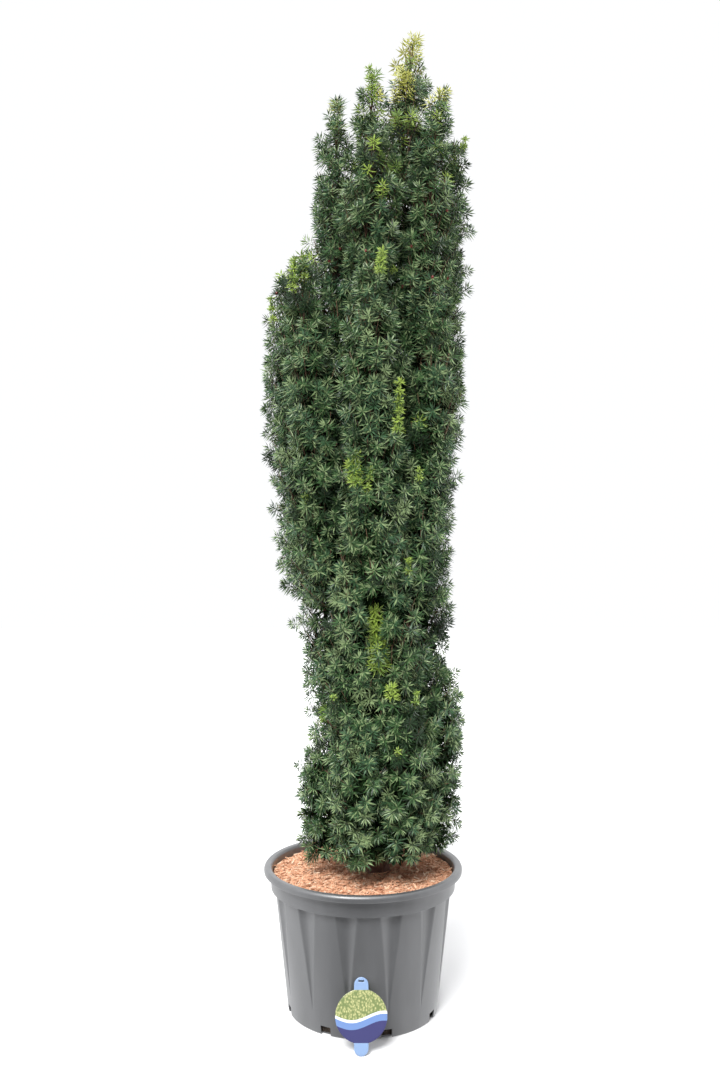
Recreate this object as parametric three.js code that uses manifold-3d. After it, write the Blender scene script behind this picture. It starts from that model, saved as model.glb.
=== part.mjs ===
// An upright English yew in a nursery container: a slender column of steep plumes, each carried by its
// own bough from one trunk. Millimetres, +Z up, +X to the right, -Y to the front. The origin is the middle
// of the container's flat underside.
import * as THREE from 'three';
import { mergeVertices } from 'three/addons/utils/BufferGeometryUtils.js';
import Module from 'manifold-3d';

const wasm = await Module();
wasm.setup();

// ---------- driving dimensions ----------

const GAP = 0.3; // air between pieces that touch

// Container: a thin moulded wall with flutes pressed into it, a collar and a rolled lip.
const BASE_RADIUS = 243;
const WALL_TOP_RADIUS = 285;
const WALL_TOP = 388;
const COLLAR_RADIUS = 299;
const COLLAR_TOP = 434;
const LIP_RADIUS = 322;
const RIM_HEIGHT = 460;
const MOUTH_RADIUS = 297;
const WALL = 4;
const FLOOR = 5;
const FLUTES = 13;
const FLUTE_DEPTH = 7;
const FLUTE_FOOT = 70; // height where a flute runs out to a point
const FLUTE_TURN = -10.3; // degrees from the front to the first flute
const FLUTE_COLUMNS = 5; // facets round the wall for each flute
const DRAINS = 8;
const DRAIN_TURN = 17;
const DRAIN_WIDTH = 34;
const DRAIN_HEIGHT = 28;

// What fills it.
const COMPOST_TOP = 398;
const MULCH_TOP = 430;
const CHIP_COUNT = 34;
const CHIP_SIZE = [46, 22, 9];

// Trunk: set a little right of the middle, nearly straight, leaning right into the leader.
const TRUNK_PATH = [
  [50, 8, MULCH_TOP + GAP], [50, 8, 500], [38, 4, 900], [46, 0, 1500], [66, 0, 2150], [84, 0, 2380],
  [106, 0, 2580],
];
const TRUNK_FOOT_RADIUS = 27;
const TRUNK_TIP_RADIUS = 5;
const FLARE = 13; // what the root flare adds to the radius at the ground
const FLARE_HEIGHT = 45;

// Boughs.
const BOUGH_SHARE = 0.5; // a bough's radius at its root as a share of the trunk's there
const BOUGH_TIP_RADIUS = 5.5;

// Foliage masses, tier by tier. root is the height on the trunk where the tier's lowest bough leaves it,
// step the rise from one bough's root to the next, foot the height where the foliage begins, spread how
// far out the foot lies on the way to the tip, blunt the girth at the foot as a share of the full girth,
// and lean the angle in radians between the lowest shoots and the stem. Each plume has the x, y and height
// of its highest shoot and the radius of its fullest part.
const TIERS = [
  {
    name: 'skirt', root: 470, step: 12, foot: 534, spread: 0.74, blunt: 0.92, lean: 1.75,
    plumes: [
      { x: -138, y: -44, top: 856, girth: 136 },
      { x: -14, y: -172, top: 985, girth: 130 },
      { x: 138, y: -166, top: 1010, girth: 134 },
      { x: 240, y: -16, top: 1130, girth: 144 },
      { x: 156, y: 152, top: 1060, girth: 138 },
      { x: -30, y: 162, top: 980, girth: 134 },
    ],
  },
  {
    name: 'low', root: 580, step: 26, foot: 770, spread: 0.46, blunt: 0.85, lean: 0.9,
    plumes: [
      { x: -160, y: -62, top: 1560, girth: 112, bow: 0.3 },
      { x: -46, y: -158, top: 1620, girth: 118 },
      { x: 108, y: -144, top: 1660, girth: 120 },
      { x: 200, y: 0, top: 1610, girth: 126 },
      { x: 104, y: 138, top: 1640, girth: 120 },
      { x: -64, y: 146, top: 1590, girth: 122 },
    ],
  },
  {
    name: 'middle', root: 900, step: 40, foot: 1250, spread: 0.54, blunt: 0.85, lean: 0.9,
    plumes: [
      { x: -256, y: -18, top: 2401, girth: 124 },
      { x: -196, y: -150, top: 2420, girth: 118 },
      { x: 24, y: -214, top: 2380, girth: 128 },
      { x: 236, y: -136, top: 2330, girth: 124 },
      { x: 236, y: 116, top: 2360, girth: 126 },
      { x: 10, y: 212, top: 2400, girth: 128 },
      { x: -186, y: 138, top: 2390, girth: 118 },
    ],
  },
  {
    name: 'upper', root: 1400, step: 48, foot: 1800, spread: 0.48, blunt: 0.85, lean: 0.9,
    plumes: [
      { x: -80, y: -32, top: 2940, girth: 104, bow: 1.7 },
      { x: 26, y: -126, top: 2990, girth: 106 },
      { x: 240, y: -92, top: 2949, girth: 106 },
      { x: 306, y: 30, top: 2828, girth: 92 },
      { x: 186, y: 126, top: 2930, girth: 110 },
      { x: 8, y: 118, top: 2960, girth: 110 },
    ],
  },
];
const LEADER = { x: 166, y: 0, top: 3174, girth: 92, blunt: 0.85, lean: 0.9 };
const BOW = 0.6; // how early a plume's axis swings out to its tip, where its row doesn't say

// How a mass grows.
const AXIS_SAMPLES = 24;
const FULL_FROM = 0.14; // a plume is at its full girth between these shares of its axis
const FULL_TO = 0.56;
const POINT = 0.28; // girth at the tip as a share of the full girth
const MARGIN = 3; // kept on each side of the border between neighbouring masses
const CORE_SHARE = 0.57; // the core's radius as a share of the girth
const CORE_WAVE = 0.13; // how far its side swells and sinks, as a share of the radius
const CORE_CLEAR = 1; // left between a core and its neighbours
const CORE_SIDES = 7;
const CORE_RINGS = [0, 0.035, 0.09, 0.26, 0.46, 0.66, 0.84, 0.95, 1]; // places along the axis
const STEM_RINGS = 2; // the first two rings are the bare stem
const STEM_TIP_RADIUS = 2;
const SHOOT_SPACING = 7; // along the stem from one shoot to the next
const LOOSE_EVERY = 4; // every fourth shoot stands out on a bare twig
const TURN = 2.39996; // golden angle between one shoot and the next
const LEAN_TIP = 0.26; // angle between the highest shoots and the stem
const TWIG_RADIUS = 2.6;
const SPRAY_LENGTH = [130, 250];
const SPRAY_SHOWN = 44; // a spray that would show less than this isn't grown
const SPRAY_APART = 126; // least distance between the tips of two sprays
const SPRAY_SUNK = 0.26; // share of a spray that is sunk in the core
const SPRAY_TWIST = 0.8; // radians either way about the shoot
const SPRAY_WIDTH = 0.52; // share of the spray's length
const SPRAY_THICK = 0.1;
const ABOVE_MULCH = 440; // nothing green reaches lower
const RIM_CLEAR = 12;

// Plant label that leans on the container's front.
const LABEL_WIDTH = 155;
const LABEL_LENGTH = 214;
const LABEL_THICK = 2;
const LABEL_TAB = 54; // width of the round tabs at its two ends
const LABEL_X = -6;
const LABEL_TOP = 200; // height where its upper end touches the wall
const LABEL_SEAT = 0.5; // how far inside the wall's full radius its facets lie there

// ---------- materials ----------

const material = (color, roughness) => new THREE.MeshStandardMaterial({ color, roughness, metalness: 0 });
const CONTAINER = material(0x5d5f62, 0.55);
const COMPOST = material(0x2b2018, 0.95);
const MULCH = material(0xb0764c, 0.9);
const BARK = material(0x6b4a36, 0.85);
const LABEL = material(0x5c68a8, 0.35);
const GREENS = [0x2c4a30, 0x35563a, 0x3d6140, 0x476a3e].map((green) => material(green, 0.7));

const tree = new THREE.Group();

function place(name, geometry, finish) {
  const mesh = new THREE.Mesh(geometry, finish);
  mesh.name = name;
  tree.add(mesh);
}

// ---------- seeded chance ----------

// Returns a function that gives numbers from 0 to 1, the same run for the same seed.
function chance(seed) {
  let state = seed >>> 0;
  return () => {
    state = (state + 0x6d2b79f5) >>> 0;
    let mixed = Math.imul(state ^ (state >>> 15), 1 | state);
    mixed = (mixed + Math.imul(mixed ^ (mixed >>> 7), 61 | mixed)) ^ mixed;
    return ((mixed ^ (mixed >>> 14)) >>> 0) / 4294967296;
  };
}

const between = (draw, low, high) => low + (high - low) * draw();

// ---------- solids ----------

// A three.js geometry as a closed solid: only positions are kept, and shared corners are merged.
function solidOf(geometry) {
  const bare = geometry.clone();
  bare.deleteAttribute('normal');
  bare.deleteAttribute('uv');
  const merged = mergeVertices(bare, 1e-4);
  return new wasm.Manifold(new wasm.Mesh({
    numProp: 3,
    vertProperties: new Float32Array(merged.attributes.position.array),
    triVerts: new Uint32Array(merged.index.array),
  }));
}

// Back to a three.js geometry, with flat shading.
function geometryOf(solid) {
  const { vertProperties, triVerts } = solid.getMesh();
  const geometry = new THREE.BufferGeometry();
  geometry.setAttribute('position', new THREE.BufferAttribute(new Float32Array(vertProperties), 3));
  geometry.setIndex(new THREE.BufferAttribute(new Uint32Array(triVerts), 1));
  geometry.computeVertexNormals();
  return geometry;
}

// The largest piece of a solid: scraps that a cut leaves behind are dropped, sealed hollows are filled.
function mainPiece(solid) {
  return solid.decompose().sort((one, other) => other.volume() - one.volume())[0];
}

const joined = (solids) => solids.reduce((sum, solid) => sum.add(solid));

// A tapering limb: a closed cylinder bent along a curve. radiusAt takes the share of the length, and
// stretch, where given, moves the rings towards the limb's root.
function limb(curve, radiusAt, sides, steps, stretch = 1) {
  const cylinder = new THREE.CylinderGeometry(1, 1, 1, sides, steps);
  const frames = curve.computeFrenetFrames(64);
  const places = cylinder.attributes.position;
  const point = new THREE.Vector3();
  for (let i = 0; i < places.count; i += 1) {
    const share = Math.min(1, Math.max(0, 0.5 - places.getY(i))) ** stretch;
    const frame = Math.round(share * 64);
    const radius = radiusAt(share);
    curve.getPointAt(share, point);
    point.addScaledVector(frames.normals[frame], places.getX(i) * radius);
    point.addScaledVector(frames.binormals[frame], places.getZ(i) * radius);
    places.setXYZ(i, point.x, point.y, point.z);
  }
  return cylinder;
}

const taper = (from, to) => (share) => from + (to - from) * share;

// ---------- container and what fills it ----------

// How deep the wall is pressed in at an angle from the front and a height: full depth just under the
// collar, running out to nothing at the flute's foot.
function fluteDepth(degrees, height) {
  if (height <= FLUTE_FOOT || height > WALL_TOP) return 0;
  const pitch = 360 / FLUTES;
  const off = Math.abs((((degrees - FLUTE_TURN) % pitch) + 1.5 * pitch) % pitch - pitch / 2);
  const rise = (height - FLUTE_FOOT) / (WALL_TOP - FLUTE_FOOT);
  const halfWidth = (pitch / 3) * Math.sqrt(rise);
  return off < halfWidth - 1e-6 ? FLUTE_DEPTH * rise * Math.cos((off / halfWidth) * (Math.PI / 2)) : 0;
}

const wallRadius = (height) => BASE_RADIUS + ((WALL_TOP_RADIUS - BASE_RADIUS) * height) / WALL_TOP;

function container() {
  const levels = [FLUTE_FOOT, 170, 290, WALL_TOP];
  const outside = levels.map((height) => [wallRadius(height), height]);
  const inside = levels.map((height) => [wallRadius(height) - WALL, height]).reverse();
  const profile = [
    [0, 0], [BASE_RADIUS, 0], ...outside, [COLLAR_RADIUS, WALL_TOP + 3], [COLLAR_RADIUS + 2, COLLAR_TOP],
    [LIP_RADIUS, COLLAR_TOP + 4], [LIP_RADIUS, RIM_HEIGHT - 5], [LIP_RADIUS - 6, RIM_HEIGHT],
    [MOUTH_RADIUS, RIM_HEIGHT - 1], [MOUTH_RADIUS - 4, WALL_TOP + 6], ...inside,
    [wallRadius(FLOOR) - WALL, FLOOR], [0, FLOOR],
  ].map(([radius, height]) => new THREE.Vector2(radius, height));
  const shell = new THREE.LatheGeometry(profile, FLUTES * FLUTE_COLUMNS);
  shell.rotateX(Math.PI / 2);
  shell.rotateZ(THREE.MathUtils.degToRad(FLUTE_TURN));
  const places = shell.attributes.position;
  for (let i = 0; i < places.count; i += 1) {
    const [x, y, z] = [places.getX(i), places.getY(i), places.getZ(i)];
    const radius = Math.hypot(x, y);
    const pressed = fluteDepth(THREE.MathUtils.radToDeg(Math.atan2(x, -y)), z);
    if (pressed > 0) places.setXYZ(i, x * (1 - pressed / radius), y * (1 - pressed / radius), z);
  }
  let pot = solidOf(shell);
  for (let i = 0; i < DRAINS; i += 1) {
    const drain = new THREE.BoxGeometry(DRAIN_WIDTH, 30, DRAIN_HEIGHT * 2);
    drain.translate(0, -(BASE_RADIUS + 3), 0);
    drain.rotateZ(THREE.MathUtils.degToRad(DRAIN_TURN + (i * 360) / DRAINS));
    pot = pot.subtract(solidOf(drain));
  }
  return geometryOf(pot);
}

function disc(profile, segments) {
  const shape = new THREE.LatheGeometry(profile.map((pair) => new THREE.Vector2(...pair)), segments);
  return shape.rotateX(Math.PI / 2);
}

const fillRadius = (height) => wallRadius(height) - WALL - FLUTE_DEPTH - GAP;

function compost() {
  return disc([
    [0, FLOOR + GAP], [fillRadius(FLOOR), FLOOR + GAP], [fillRadius(COMPOST_TOP), COMPOST_TOP],
    [0, COMPOST_TOP],
  ], 36);
}

// A bed of bark: a disc that clears the container's wall, with larger chips lying half in it.
function mulch() {
  const draw = chance(11);
  const edge = WALL_TOP_RADIUS - WALL - FLUTE_DEPTH;
  const bed = solidOf(disc([
    [0, COMPOST_TOP + GAP], [edge, COMPOST_TOP + GAP], [edge + 8, MULCH_TOP - 3], [edge + 2, MULCH_TOP],
    [0, MULCH_TOP],
  ], 36));
  const chips = Array.from({ length: CHIP_COUNT }, (_, i) => {
    const chip = new THREE.BoxGeometry(...CHIP_SIZE.map((size) => size * between(draw, 0.7, 1.2)));
    const radius = (edge - 26) * Math.sqrt(0.09 + 0.91 * ((i + draw()) / CHIP_COUNT));
    const angle = i * TURN;
    chip.rotateZ(between(draw, 0, Math.PI));
    chip.rotateX(between(draw, -0.25, 0.25));
    chip.translate(radius * Math.cos(angle), radius * Math.sin(angle), MULCH_TOP + between(draw, -2, 2));
    return { chip, x: radius * Math.cos(angle), y: radius * Math.sin(angle) };
  });
  const [[footX, footY]] = TRUNK_PATH;
  const clear = chips.filter(({ x, y }) => Math.hypot(x - footX, y - footY) > 85);
  return geometryOf(joined([bed, ...clear.map(({ chip }) => solidOf(chip))]));
}

// ---------- trunk and boughs ----------

const trunkCurve = new THREE.CatmullRomCurve3(TRUNK_PATH.map((point) => new THREE.Vector3(...point)));
const trunkLength = trunkCurve.getLength();

const trunkRadius = (share) => TRUNK_TIP_RADIUS + (TRUNK_FOOT_RADIUS - TRUNK_TIP_RADIUS) * (1 - share)
  + FLARE * Math.exp((-share * trunkLength) / FLARE_HEIGHT);

// The point of the trunk's middle line at a height.
function trunkAt(height) {
  let [low, high] = [0, 1];
  for (let i = 0; i < 24; i += 1) {
    const middle = (low + high) / 2;
    if (trunkCurve.getPointAt(middle).z < height) low = middle;
    else high = middle;
  }
  return trunkCurve.getPointAt(low);
}

// One plume: its bough from the trunk, the axis its stem grows along, and samples of the space that it
// fills, each a ball on the axis.
function plumeOf(tier, spec, index) {
  const tip = new THREE.Vector3(spec.x, spec.y, spec.top - POINT * spec.girth);
  const foot = trunkAt(tier.foot);
  foot.lerp(new THREE.Vector3(tip.x, tip.y, tier.foot), tier.spread);
  const bend = foot.clone().lerp(tip, 0.35);
  bend.x = foot.x + (tip.x - foot.x) * (spec.bow ?? BOW);
  bend.y = foot.y + (tip.y - foot.y) * (spec.bow ?? BOW);
  const order = (index * 2) % (tier.plumes.length | 1);
  const root = trunkAt(tier.root + order * tier.step);
  const turn = root.clone().lerp(foot, 0.7);
  turn.z = root.z + (foot.z - root.z) * 0.4;
  return {
    name: `${tier.name}_${index + 1}`,
    girth: spec.girth,
    blunt: tier.blunt,
    lean: tier.lean,
    bough: new THREE.QuadraticBezierCurve3(root, turn, foot),
    boughRadius: BOUGH_SHARE * trunkRadius((root.z - MULCH_TOP) / (trunkTip.z - MULCH_TOP)) + 3,
    axis: new THREE.QuadraticBezierCurve3(foot, bend, tip),
  };
}

const trunkTip = trunkCurve.getPointAt(1);
const plumes = TIERS.flatMap((tier) => tier.plumes.map((spec, index) => plumeOf(tier, spec, index)));
const leaderTip = new THREE.Vector3(LEADER.x, LEADER.y, LEADER.top - POINT * LEADER.girth);
plumes.push({
  name: 'leader',
  girth: LEADER.girth,
  blunt: LEADER.blunt,
  lean: LEADER.lean,
  bough: null,
  axis: new THREE.QuadraticBezierCurve3(trunkTip, trunkTip.clone().lerp(leaderTip, 0.5), leaderTip),
});

// Girth along a plume: from the blunt foot out to the fullest part, then in to a point.
function girthAt(plume, share) {
  const quarter = Math.PI / 2;
  const rising = plume.blunt + (1 - plume.blunt) * Math.sin(quarter * Math.min(1, share / FULL_FROM));
  const fall = Math.max(0, (share - FULL_TO) / (1 - FULL_TO));
  return plume.girth * rising * (POINT + (1 - POINT) * Math.cos(quarter * fall ** 1.4));
}

plumes.forEach((plume) => {
  plume.balls = Array.from({ length: AXIS_SAMPLES + 1 }, (_, i) => {
    const share = i / AXIS_SAMPLES;
    return { centre: plume.axis.getPoint(share), radius: girthAt(plume, share) };
  });
});

const trunkLimb = (extra) => {
  const shape = limb(trunkCurve, (share) => trunkRadius(share) + extra, 10, 14, 1.8);
  const places = shape.attributes.position;
  for (let i = 0; i < places.count; i += 1) {
    if (places.getZ(i) < MULCH_TOP + 4) places.setZ(i, MULCH_TOP + GAP);
  }
  return shape;
};
const boughLimb = (plume, extra) => limb(
  plume.bough, taper(plume.boughRadius + extra, BOUGH_TIP_RADIUS + extra), 6, 3,
);

// The same limbs a gap larger all round: what is cut by them clears them.
const SIX_SIDED_GAP = GAP / Math.cos(Math.PI / 6);
const tipCap = (curve, radius) => {
  const end = curve.getPointAt(1);
  const on = end.clone().addScaledVector(curve.getTangentAt(1), GAP);
  return limb(new THREE.LineCurve3(end.clone().lerp(on, -1), on), () => radius, 6, 1);
};
const trunkSpace = solidOf(trunkLimb(SIX_SIDED_GAP))
  .add(solidOf(tipCap(trunkCurve, TRUNK_TIP_RADIUS + SIX_SIDED_GAP)));
const boughs = plumes.filter((plume) => plume.bough);
const limbSpace = joined([trunkSpace, ...boughs.flatMap((plume) => [
  solidOf(boughLimb(plume, SIX_SIDED_GAP)), solidOf(tipCap(plume.bough, BOUGH_TIP_RADIUS + SIX_SIDED_GAP)),
])]);

// ---------- foliage masses ----------

// How far a point stands outside a plume's space, below zero inside it.
const outsideOf = (plume, point) => Math.min(
  ...plume.balls.map(({ centre, radius }) => centre.distanceTo(point) - radius),
);

// Distance from a plume's axis as a share of its girth there, with the distance shifted by a margin.
const shareOf = (plume, point, shift) => Math.min(
  ...plume.balls.map(({ centre, radius }) => (centre.distanceTo(point) + shift) / radius),
);

// Whether a point is in a plume's own space: within reach, deeper in it than in any neighbour, over the
// mulch and clear of the container's rim.
function ownSpace(plume, point, reach) {
  const offAxis = Math.hypot(point.x, point.y);
  if (point.z < ABOVE_MULCH) return false;
  if (point.z < RIM_HEIGHT + RIM_CLEAR && offAxis > MOUTH_RADIUS - RIM_CLEAR) return false;
  if (outsideOf(plume, point) > reach) return false;
  const own = shareOf(plume, point, MARGIN);
  return plumes.every((other) => other === plume || shareOf(other, point, -MARGIN) > own);
}

const coreHolds = (plume, point) => plume.balls.some(
  ({ centre, radius }) => centre.distanceTo(point) < CORE_SHARE * radius,
);

// The stem's middle line: the plume's axis, begun just inside the bough's tip and run on to the top.
function stemPoint(plume, share) {
  const point = plume.axis.getPointAt(share);
  if (share === 0) point.addScaledVector(plume.axis.getTangentAt(0), -2);
  if (share === 1) point.addScaledVector(plume.axis.getTangentAt(1), POINT * plume.girth);
  return point;
}

// The stem with the dense inside of the mass round it: one cylinder bent along the axis, as thin as the
// bough's tip at its foot, drawn in wherever it would leave the mass's space, and ending in the top shoot.
function core(plume, extra = 0) {
  const shape = new THREE.CylinderGeometry(1, 1, 1, CORE_SIDES, CORE_RINGS.length - 1);
  const frames = plume.axis.computeFrenetFrames(64);
  const places = shape.attributes.position;
  const out = new THREE.Vector3();
  const point = new THREE.Vector3();
  for (let i = 0; i < places.count; i += 1) {
    const ring = Math.round((0.5 - places.getY(i)) * (CORE_RINGS.length - 1));
    const share = CORE_RINGS[ring];
    const middle = stemPoint(plume, share);
    const frame = Math.round(share * 64);
    out.set(0, 0, 0).addScaledVector(frames.normals[frame], places.getX(i));
    out.addScaledVector(frames.binormals[frame], places.getZ(i));
    const wave = CORE_WAVE * Math.sin(3 * Math.atan2(places.getZ(i), places.getX(i)) + 2.2 * ring);
    let radius = CORE_SHARE * girthAt(plume, share) * (1 + wave);
    if (ring < STEM_RINGS) radius = BOUGH_TIP_RADIUS * 0.9;
    if (ring === CORE_RINGS.length - 1) radius = STEM_TIP_RADIUS;
    const fits = () => ownSpace(plume, point.copy(middle).addScaledVector(out, radius), 0);
    while (radius > STEM_TIP_RADIUS && !fits()) radius *= 0.9;
    point.copy(middle).addScaledVector(out, radius + extra);
    places.setXYZ(i, point.x, point.y, point.z);
  }
  return shape;
}

// A spray of needles as a toothed blade: three points, thickest along its middle.
function spray(root, along, across, length) {
  const up = new THREE.Vector3().crossVectors(along, across).normalize();
  const corner = (forward, side, lift) => root.clone()
    .addScaledVector(along, forward * length)
    .addScaledVector(across, side * SPRAY_WIDTH * length)
    .addScaledVector(up, lift * SPRAY_THICK * length);
  const outline = [
    corner(0, 0, 0), corner(0.7, 0.5, 0), corner(0.66, 0.2, 0), corner(1, 0, 0), corner(0.66, -0.2, 0),
    corner(0.7, -0.5, 0),
  ];
  const ridge = [corner(0.45, 0, 0.5), corner(0.45, 0, -0.5)];
  const faces = outline.flatMap((_, i) => {
    const next = (i + 1) % outline.length;
    return [6, next, i, 7, i, next];
  });
  const blade = new THREE.BufferGeometry();
  blade.setAttribute('position', new THREE.BufferAttribute(
    new Float32Array([...outline, ...ridge].flatMap((point) => point.toArray())), 3,
  ));
  blade.setIndex(faces);
  return { blade, outline };
}

// The shoots of a plume: each leaves the stem at a golden turn from the last, leaning out low down and
// nearly upright near the tip, and ends in a spray at the edge of the mass's space. A spray that would
// leave that space or touch a limb isn't grown.
function shoots(plume, draw, taken) {
  const frames = plume.axis.computeFrenetFrames(64);
  const count = Math.round(plume.axis.getLength() / SHOOT_SPACING);
  const grown = [];
  const tips = [];
  for (let i = 0; i < count; i += 1) {
    const share = 0.03 + (0.93 * (i + draw())) / count;
    const frame = Math.round(share * 64);
    const angle = i * TURN + between(draw, -0.3, 0.3);
    const radial = frames.normals[frame].clone().multiplyScalar(Math.cos(angle))
      .addScaledVector(frames.binormals[frame], Math.sin(angle));
    const lean = THREE.MathUtils.lerp(plume.lean, LEAN_TIP, share ** 0.5) + between(draw, -0.12, 0.12);
    const along = radial.clone().multiplyScalar(Math.sin(lean))
      .addScaledVector(plume.axis.getTangentAt(share), Math.cos(lean)).normalize();
    const from = plume.axis.getPointAt(share);
    const twist = between(draw, -SPRAY_TWIST, SPRAY_TWIST);
    const edge = between(draw, -12, 4);
    const at = new THREE.Vector3();
    let reach = 20;
    while (reach < 420 && ownSpace(plume, at.copy(from).addScaledVector(along, reach + 4), edge)) reach += 4;
    let leaves = 0;
    while (leaves < reach && coreHolds(plume, at.copy(from).addScaledVector(along, leaves))) leaves += 4;
    const loose = i % LOOSE_EVERY === 0;
    const shown = reach - leaves;
    if (shown < SPRAY_SHOWN || reach < SPRAY_LENGTH[0]) continue;
    const length = THREE.MathUtils.clamp(shown / (loose ? 0.9 : 1 - SPRAY_SUNK), ...SPRAY_LENGTH);
    const tip = from.clone().addScaledVector(along, reach);
    if (tips.some((other) => other.distanceTo(tip) < SPRAY_APART)) continue;
    const across = new THREE.Vector3().crossVectors(along, radial).normalize();
    across.applyAxisAngle(along, twist);
    const root = from.clone().addScaledVector(along, reach - length);
    const { blade, outline } = spray(root, along, across, length);
    const probes = outline.slice(1).flatMap((point) => [point, at.clone().lerpVectors(root, point, 0.6)]);
    if (!probes.every((point) => ownSpace(plume, point, 12))) continue;
    const pieces = [solidOf(blade)];
    if (loose) {
      const within = root.clone().addScaledVector(along, length * 0.35);
      pieces.push(solidOf(limb(new THREE.LineCurve3(from, within), taper(TWIG_RADIUS, 1.5), 3, 1)));
    }
    if (pieces.some((solid) => taken.some((other) => !solid.intersect(other).isEmpty()))) continue;
    grown.push(...pieces);
    tips.push(tip);
  }
  return grown;
}

// The cores, each cut by the limbs and by the cores before it where their faces would cross.
function cores() {
  const made = [];
  plumes.forEach((plume, index) => {
    const before = plumes.slice(0, index).map((other) => other.space);
    plume.space = solidOf(core(plume, CORE_CLEAR));
    made.push([limbSpace, ...before].reduce((rest, other) => rest.subtract(other), solidOf(core(plume))));
  });
  return made;
}

function foliage(plume, index, heart) {
  const draw = chance(101 + index * 17);
  const taken = [limbSpace, ...plumes.filter((other) => other !== plume).map((other) => other.space)];
  return geometryOf(mainPiece(joined([mainPiece(heart), ...shoots(plume, draw, taken)])));
}

// ---------- plant label ----------

// A flat card with a round tab at each end, leaning with its upper end on the wall.
function label() {
  const half = LABEL_WIDTH / 2;
  const tab = LABEL_TAB / 2;
  const shoulder = LABEL_LENGTH / 2 - tab;
  const card = new THREE.Shape();
  card.absellipse(0, 0, half, shoulder + 4, 0, Math.PI * 2, false, 0);
  const extrusion = { depth: LABEL_THICK, bevelEnabled: false, curveSegments: 14 };
  const oval = new THREE.ExtrudeGeometry(card, extrusion);
  const tabs = [-shoulder, shoulder].map((y) => {
    const round = new THREE.CylinderGeometry(tab, tab, LABEL_THICK, 12);
    return solidOf(round.rotateX(Math.PI / 2).translate(0, y, LABEL_THICK / 2));
  });
  const slit = new THREE.BoxGeometry(26, 5, LABEL_THICK * 3).translate(0, shoulder + 6, 0);
  const flat = geometryOf(joined([solidOf(oval), ...tabs]).subtract(solidOf(slit)));
  const lean = Math.asin(LABEL_TOP / LABEL_LENGTH);
  flat.translate(0, LABEL_LENGTH / 2, 0).rotateX(lean);
  flat.computeBoundingBox();
  const wallFace = LABEL_SEAT - wallRadius(LABEL_TOP);
  return flat.translate(LABEL_X, wallFace - flat.boundingBox.max.y, -flat.boundingBox.min.z);
}

// ---------- the whole plant ----------

place('container', container(), CONTAINER);
place('compost', compost(), COMPOST);
place('bark_mulch', mulch(), MULCH);
place('trunk', trunkLimb(0), BARK);
boughs.forEach((plume) => {
  const wood = solidOf(boughLimb(plume, 0)).subtract(trunkSpace);
  place(`bough_${plume.name}`, geometryOf(mainPiece(wood)), BARK);
});
cores().forEach((heart, index) => {
  const plume = plumes[index];
  place(`foliage_${plume.name}`, foliage(plume, index, heart), GREENS[index % GREENS.length]);
});
place('plant_label', label(), LABEL);

export default tree;
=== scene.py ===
"""An upright English yew in a nursery container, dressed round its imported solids.

Metres, +Z up, +X to the right, -Y to the front. The sections follow the plant as it is put together:
camera, container, compost, mulch, trunk, boughs, foliage, fruit, label, floor and light.
"""

import math

import bpy
import numpy as np
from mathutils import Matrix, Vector


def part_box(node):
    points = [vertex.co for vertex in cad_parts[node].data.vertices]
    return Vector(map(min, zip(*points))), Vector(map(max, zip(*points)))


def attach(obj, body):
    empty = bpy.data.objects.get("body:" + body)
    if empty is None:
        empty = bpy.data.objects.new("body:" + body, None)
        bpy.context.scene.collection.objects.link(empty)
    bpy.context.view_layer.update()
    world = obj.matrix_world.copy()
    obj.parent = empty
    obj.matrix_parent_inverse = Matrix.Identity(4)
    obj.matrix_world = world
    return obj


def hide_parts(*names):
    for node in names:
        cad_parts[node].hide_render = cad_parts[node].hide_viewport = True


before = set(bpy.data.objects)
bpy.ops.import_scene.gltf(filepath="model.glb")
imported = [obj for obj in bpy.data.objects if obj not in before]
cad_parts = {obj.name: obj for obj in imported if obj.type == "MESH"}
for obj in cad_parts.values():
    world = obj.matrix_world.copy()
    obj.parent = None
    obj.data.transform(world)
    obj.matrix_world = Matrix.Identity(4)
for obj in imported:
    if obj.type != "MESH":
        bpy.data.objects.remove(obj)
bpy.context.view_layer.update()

# ---------- Camera ----------
# A level camera at eye height, a little over three metres in front of the plant.

CAMERA_PLACE = (-0.0098, -3.326, 1.513)
FOCAL_LENGTH = 33.97  # millimetres, on a sensor 36 mm along its long side

lens = bpy.data.cameras.new("camera")
lens.lens = FOCAL_LENGTH
lens.sensor_width = 36
camera = bpy.data.objects.new("camera", lens)
camera.location = CAMERA_PLACE
camera.rotation_euler = (math.pi / 2, 0, 0)
bpy.context.scene.collection.objects.link(camera)
bpy.context.scene.camera = camera

# ---------- Container ----------
# A nursery container of dark grey polypropylene, moulded in one piece: a thin wall with flutes pressed
# into it from the collar down, a rolled lip to carry it by, and eight drain notches cut at its foot.

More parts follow.
